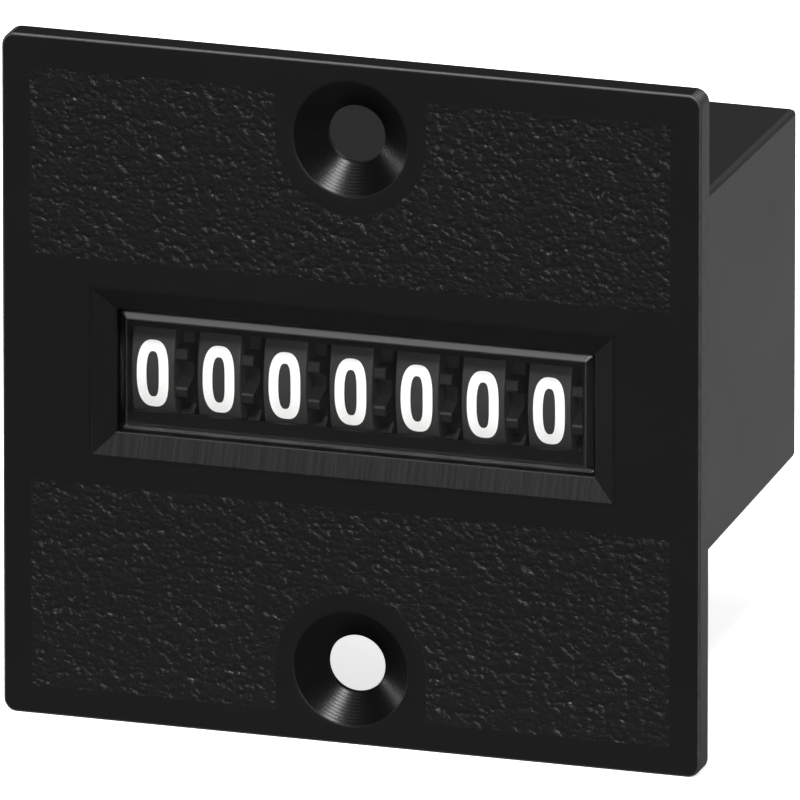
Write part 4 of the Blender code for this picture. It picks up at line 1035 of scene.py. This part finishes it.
def buildFloor():
    # white background paper that glows for camera rays, painted light that keeps it pale in the
    # shadows
    material, tree, shader = newMaterial("paleFloorPaper", {
        "Roughness": 0.9, "Specular IOR Level": 0.1, "Emission Color": (1.0, 1.0, 1.0, 1.0)})
    coords = addNode(tree, "ShaderNodeTexCoord")
    axes = addNode(tree, "ShaderNodeSeparateXYZ", None, {"Vector": coords.outputs["Object"]})
    behind = addNode(tree, "ShaderNodeMapRange",
                     {"From Min": studio["paintedReflectionEdge"][0], "From Max": studio["paintedReflectionEdge"][1]},
                     {"Value": axes.outputs["Y"]})
    # painted reflection: to all but the camera the floor is grey, darker before the object
    bounce = addNode(tree, "ShaderNodeMix",
                     {"data_type": "RGBA", "A": hexColour(studio["paintedReflectionFront"]),
                      "B": hexColour(studio["paintedReflectionRear"])}, {"Factor": behind.outputs["Result"]})
    seen = addNode(tree, "ShaderNodeLightPath")
    tone = addNode(tree, "ShaderNodeMix",
                   {"data_type": "RGBA", "B": hexColour(studio["floor"])},
                   {"Factor": seen.outputs["Is Camera Ray"], "A": bounce.outputs["Result"]})
    tree.links.new(tone.outputs["Result"], shader.inputs["Base Color"])
    glow = addNode(tree, "ShaderNodeMath", {"operation": "MULTIPLY", 1: studio["floorGlow"]},
                   {0: seen.outputs["Is Camera Ray"]})
    tree.links.new(glow.outputs["Value"], shader.inputs["Emission Strength"])
    bm = bmesh.new()
    bmesh.ops.create_grid(bm, x_segments=1, y_segments=1, size=6.0)
    mesh = bpy.data.meshes.new("floor")
    bm.to_mesh(mesh)
    bm.free()
    mesh.materials.append(material)
    floor = bpy.data.objects.new("floor", mesh)
    floor.location.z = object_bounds()[0][2]
    bpy.context.scene.collection.objects.link(floor)


def addLight(name, settings):
    lamp = bpy.data.lights.new(name, "AREA")
    lamp.shape = "SQUARE"
    lamp.size = settings["size"]
    lamp.energy = settings["power"]
    holder = bpy.data.objects.new(name, lamp)
    towards = Vector(settings["towards"]).normalized()
    holder.location = towards * settings["distance"]
    holder.rotation_euler = towards.to_track_quat("Z", "Y").to_euler()
    bpy.context.scene.collection.objects.link(holder)


def buildWorld():
    world = bpy.data.worlds.new("studioWorld")
    world.use_nodes = True
    tree = world.node_tree
    backdrop = tree.nodes["Background"]
    backdrop.inputs["Color"].default_value = (1.0, 1.0, 1.0, 1.0)
    seen = addNode(tree, "ShaderNodeLightPath")
    level = addNode(tree, "ShaderNodeMapRange", {"To Min": studio["world"], "To Max": 1.0},
                    {"Value": seen.outputs["Is Camera Ray"]})
    tree.links.new(level.outputs["Result"], backdrop.inputs["Strength"])
    bpy.context.scene.world = world


cameraSettings = {
    "azimuth": 17.65,       # turned to the object's right
    "elevation": 17.45,
    "distance": 2.6,
    "frameWidth": 57.61,    # what the picture spans at the plate
    "aim": (3.57, 0.38),    # right and up from the plate's front middle
}


def buildCamera():
    azimuth = math.radians(cameraSettings["azimuth"])
    elevation = math.radians(cameraSettings["elevation"])
    back = Vector((math.sin(azimuth) * math.cos(elevation),
                   -math.cos(azimuth) * math.cos(elevation), math.sin(elevation)))
    right = Vector((math.cos(azimuth), math.sin(azimuth), 0.0))
    up = back.cross(right)
    aim = Vector((0.0, nodeBox("front_plate")[0][1], 0.0))
    aim = (aim + right * cameraSettings["aim"][0] + up * cameraSettings["aim"][1]) * mm
    lens = bpy.data.cameras.new("camera")
    lens.sensor_width = 36.0
    lens.lens = 36.0 * cameraSettings["distance"] / (cameraSettings["frameWidth"] * mm)
    lens.clip_end = 50.0
    camera = bpy.data.objects.new("camera", lens)
    camera.location = aim + back * cameraSettings["distance"]
    camera.rotation_euler = back.to_track_quat("Z", "Y").to_euler()
    bpy.context.scene.collection.objects.link(camera)
    bpy.context.scene.camera = camera


buildFloor()
for name in ("key", "left", "right", "over", "front", "rear"):
    addLight(name + "Light", studio[name])
buildWorld()
buildCamera()
bpy.context.scene.view_settings.view_transform = "Standard"
print("floor, lights and camera placed")
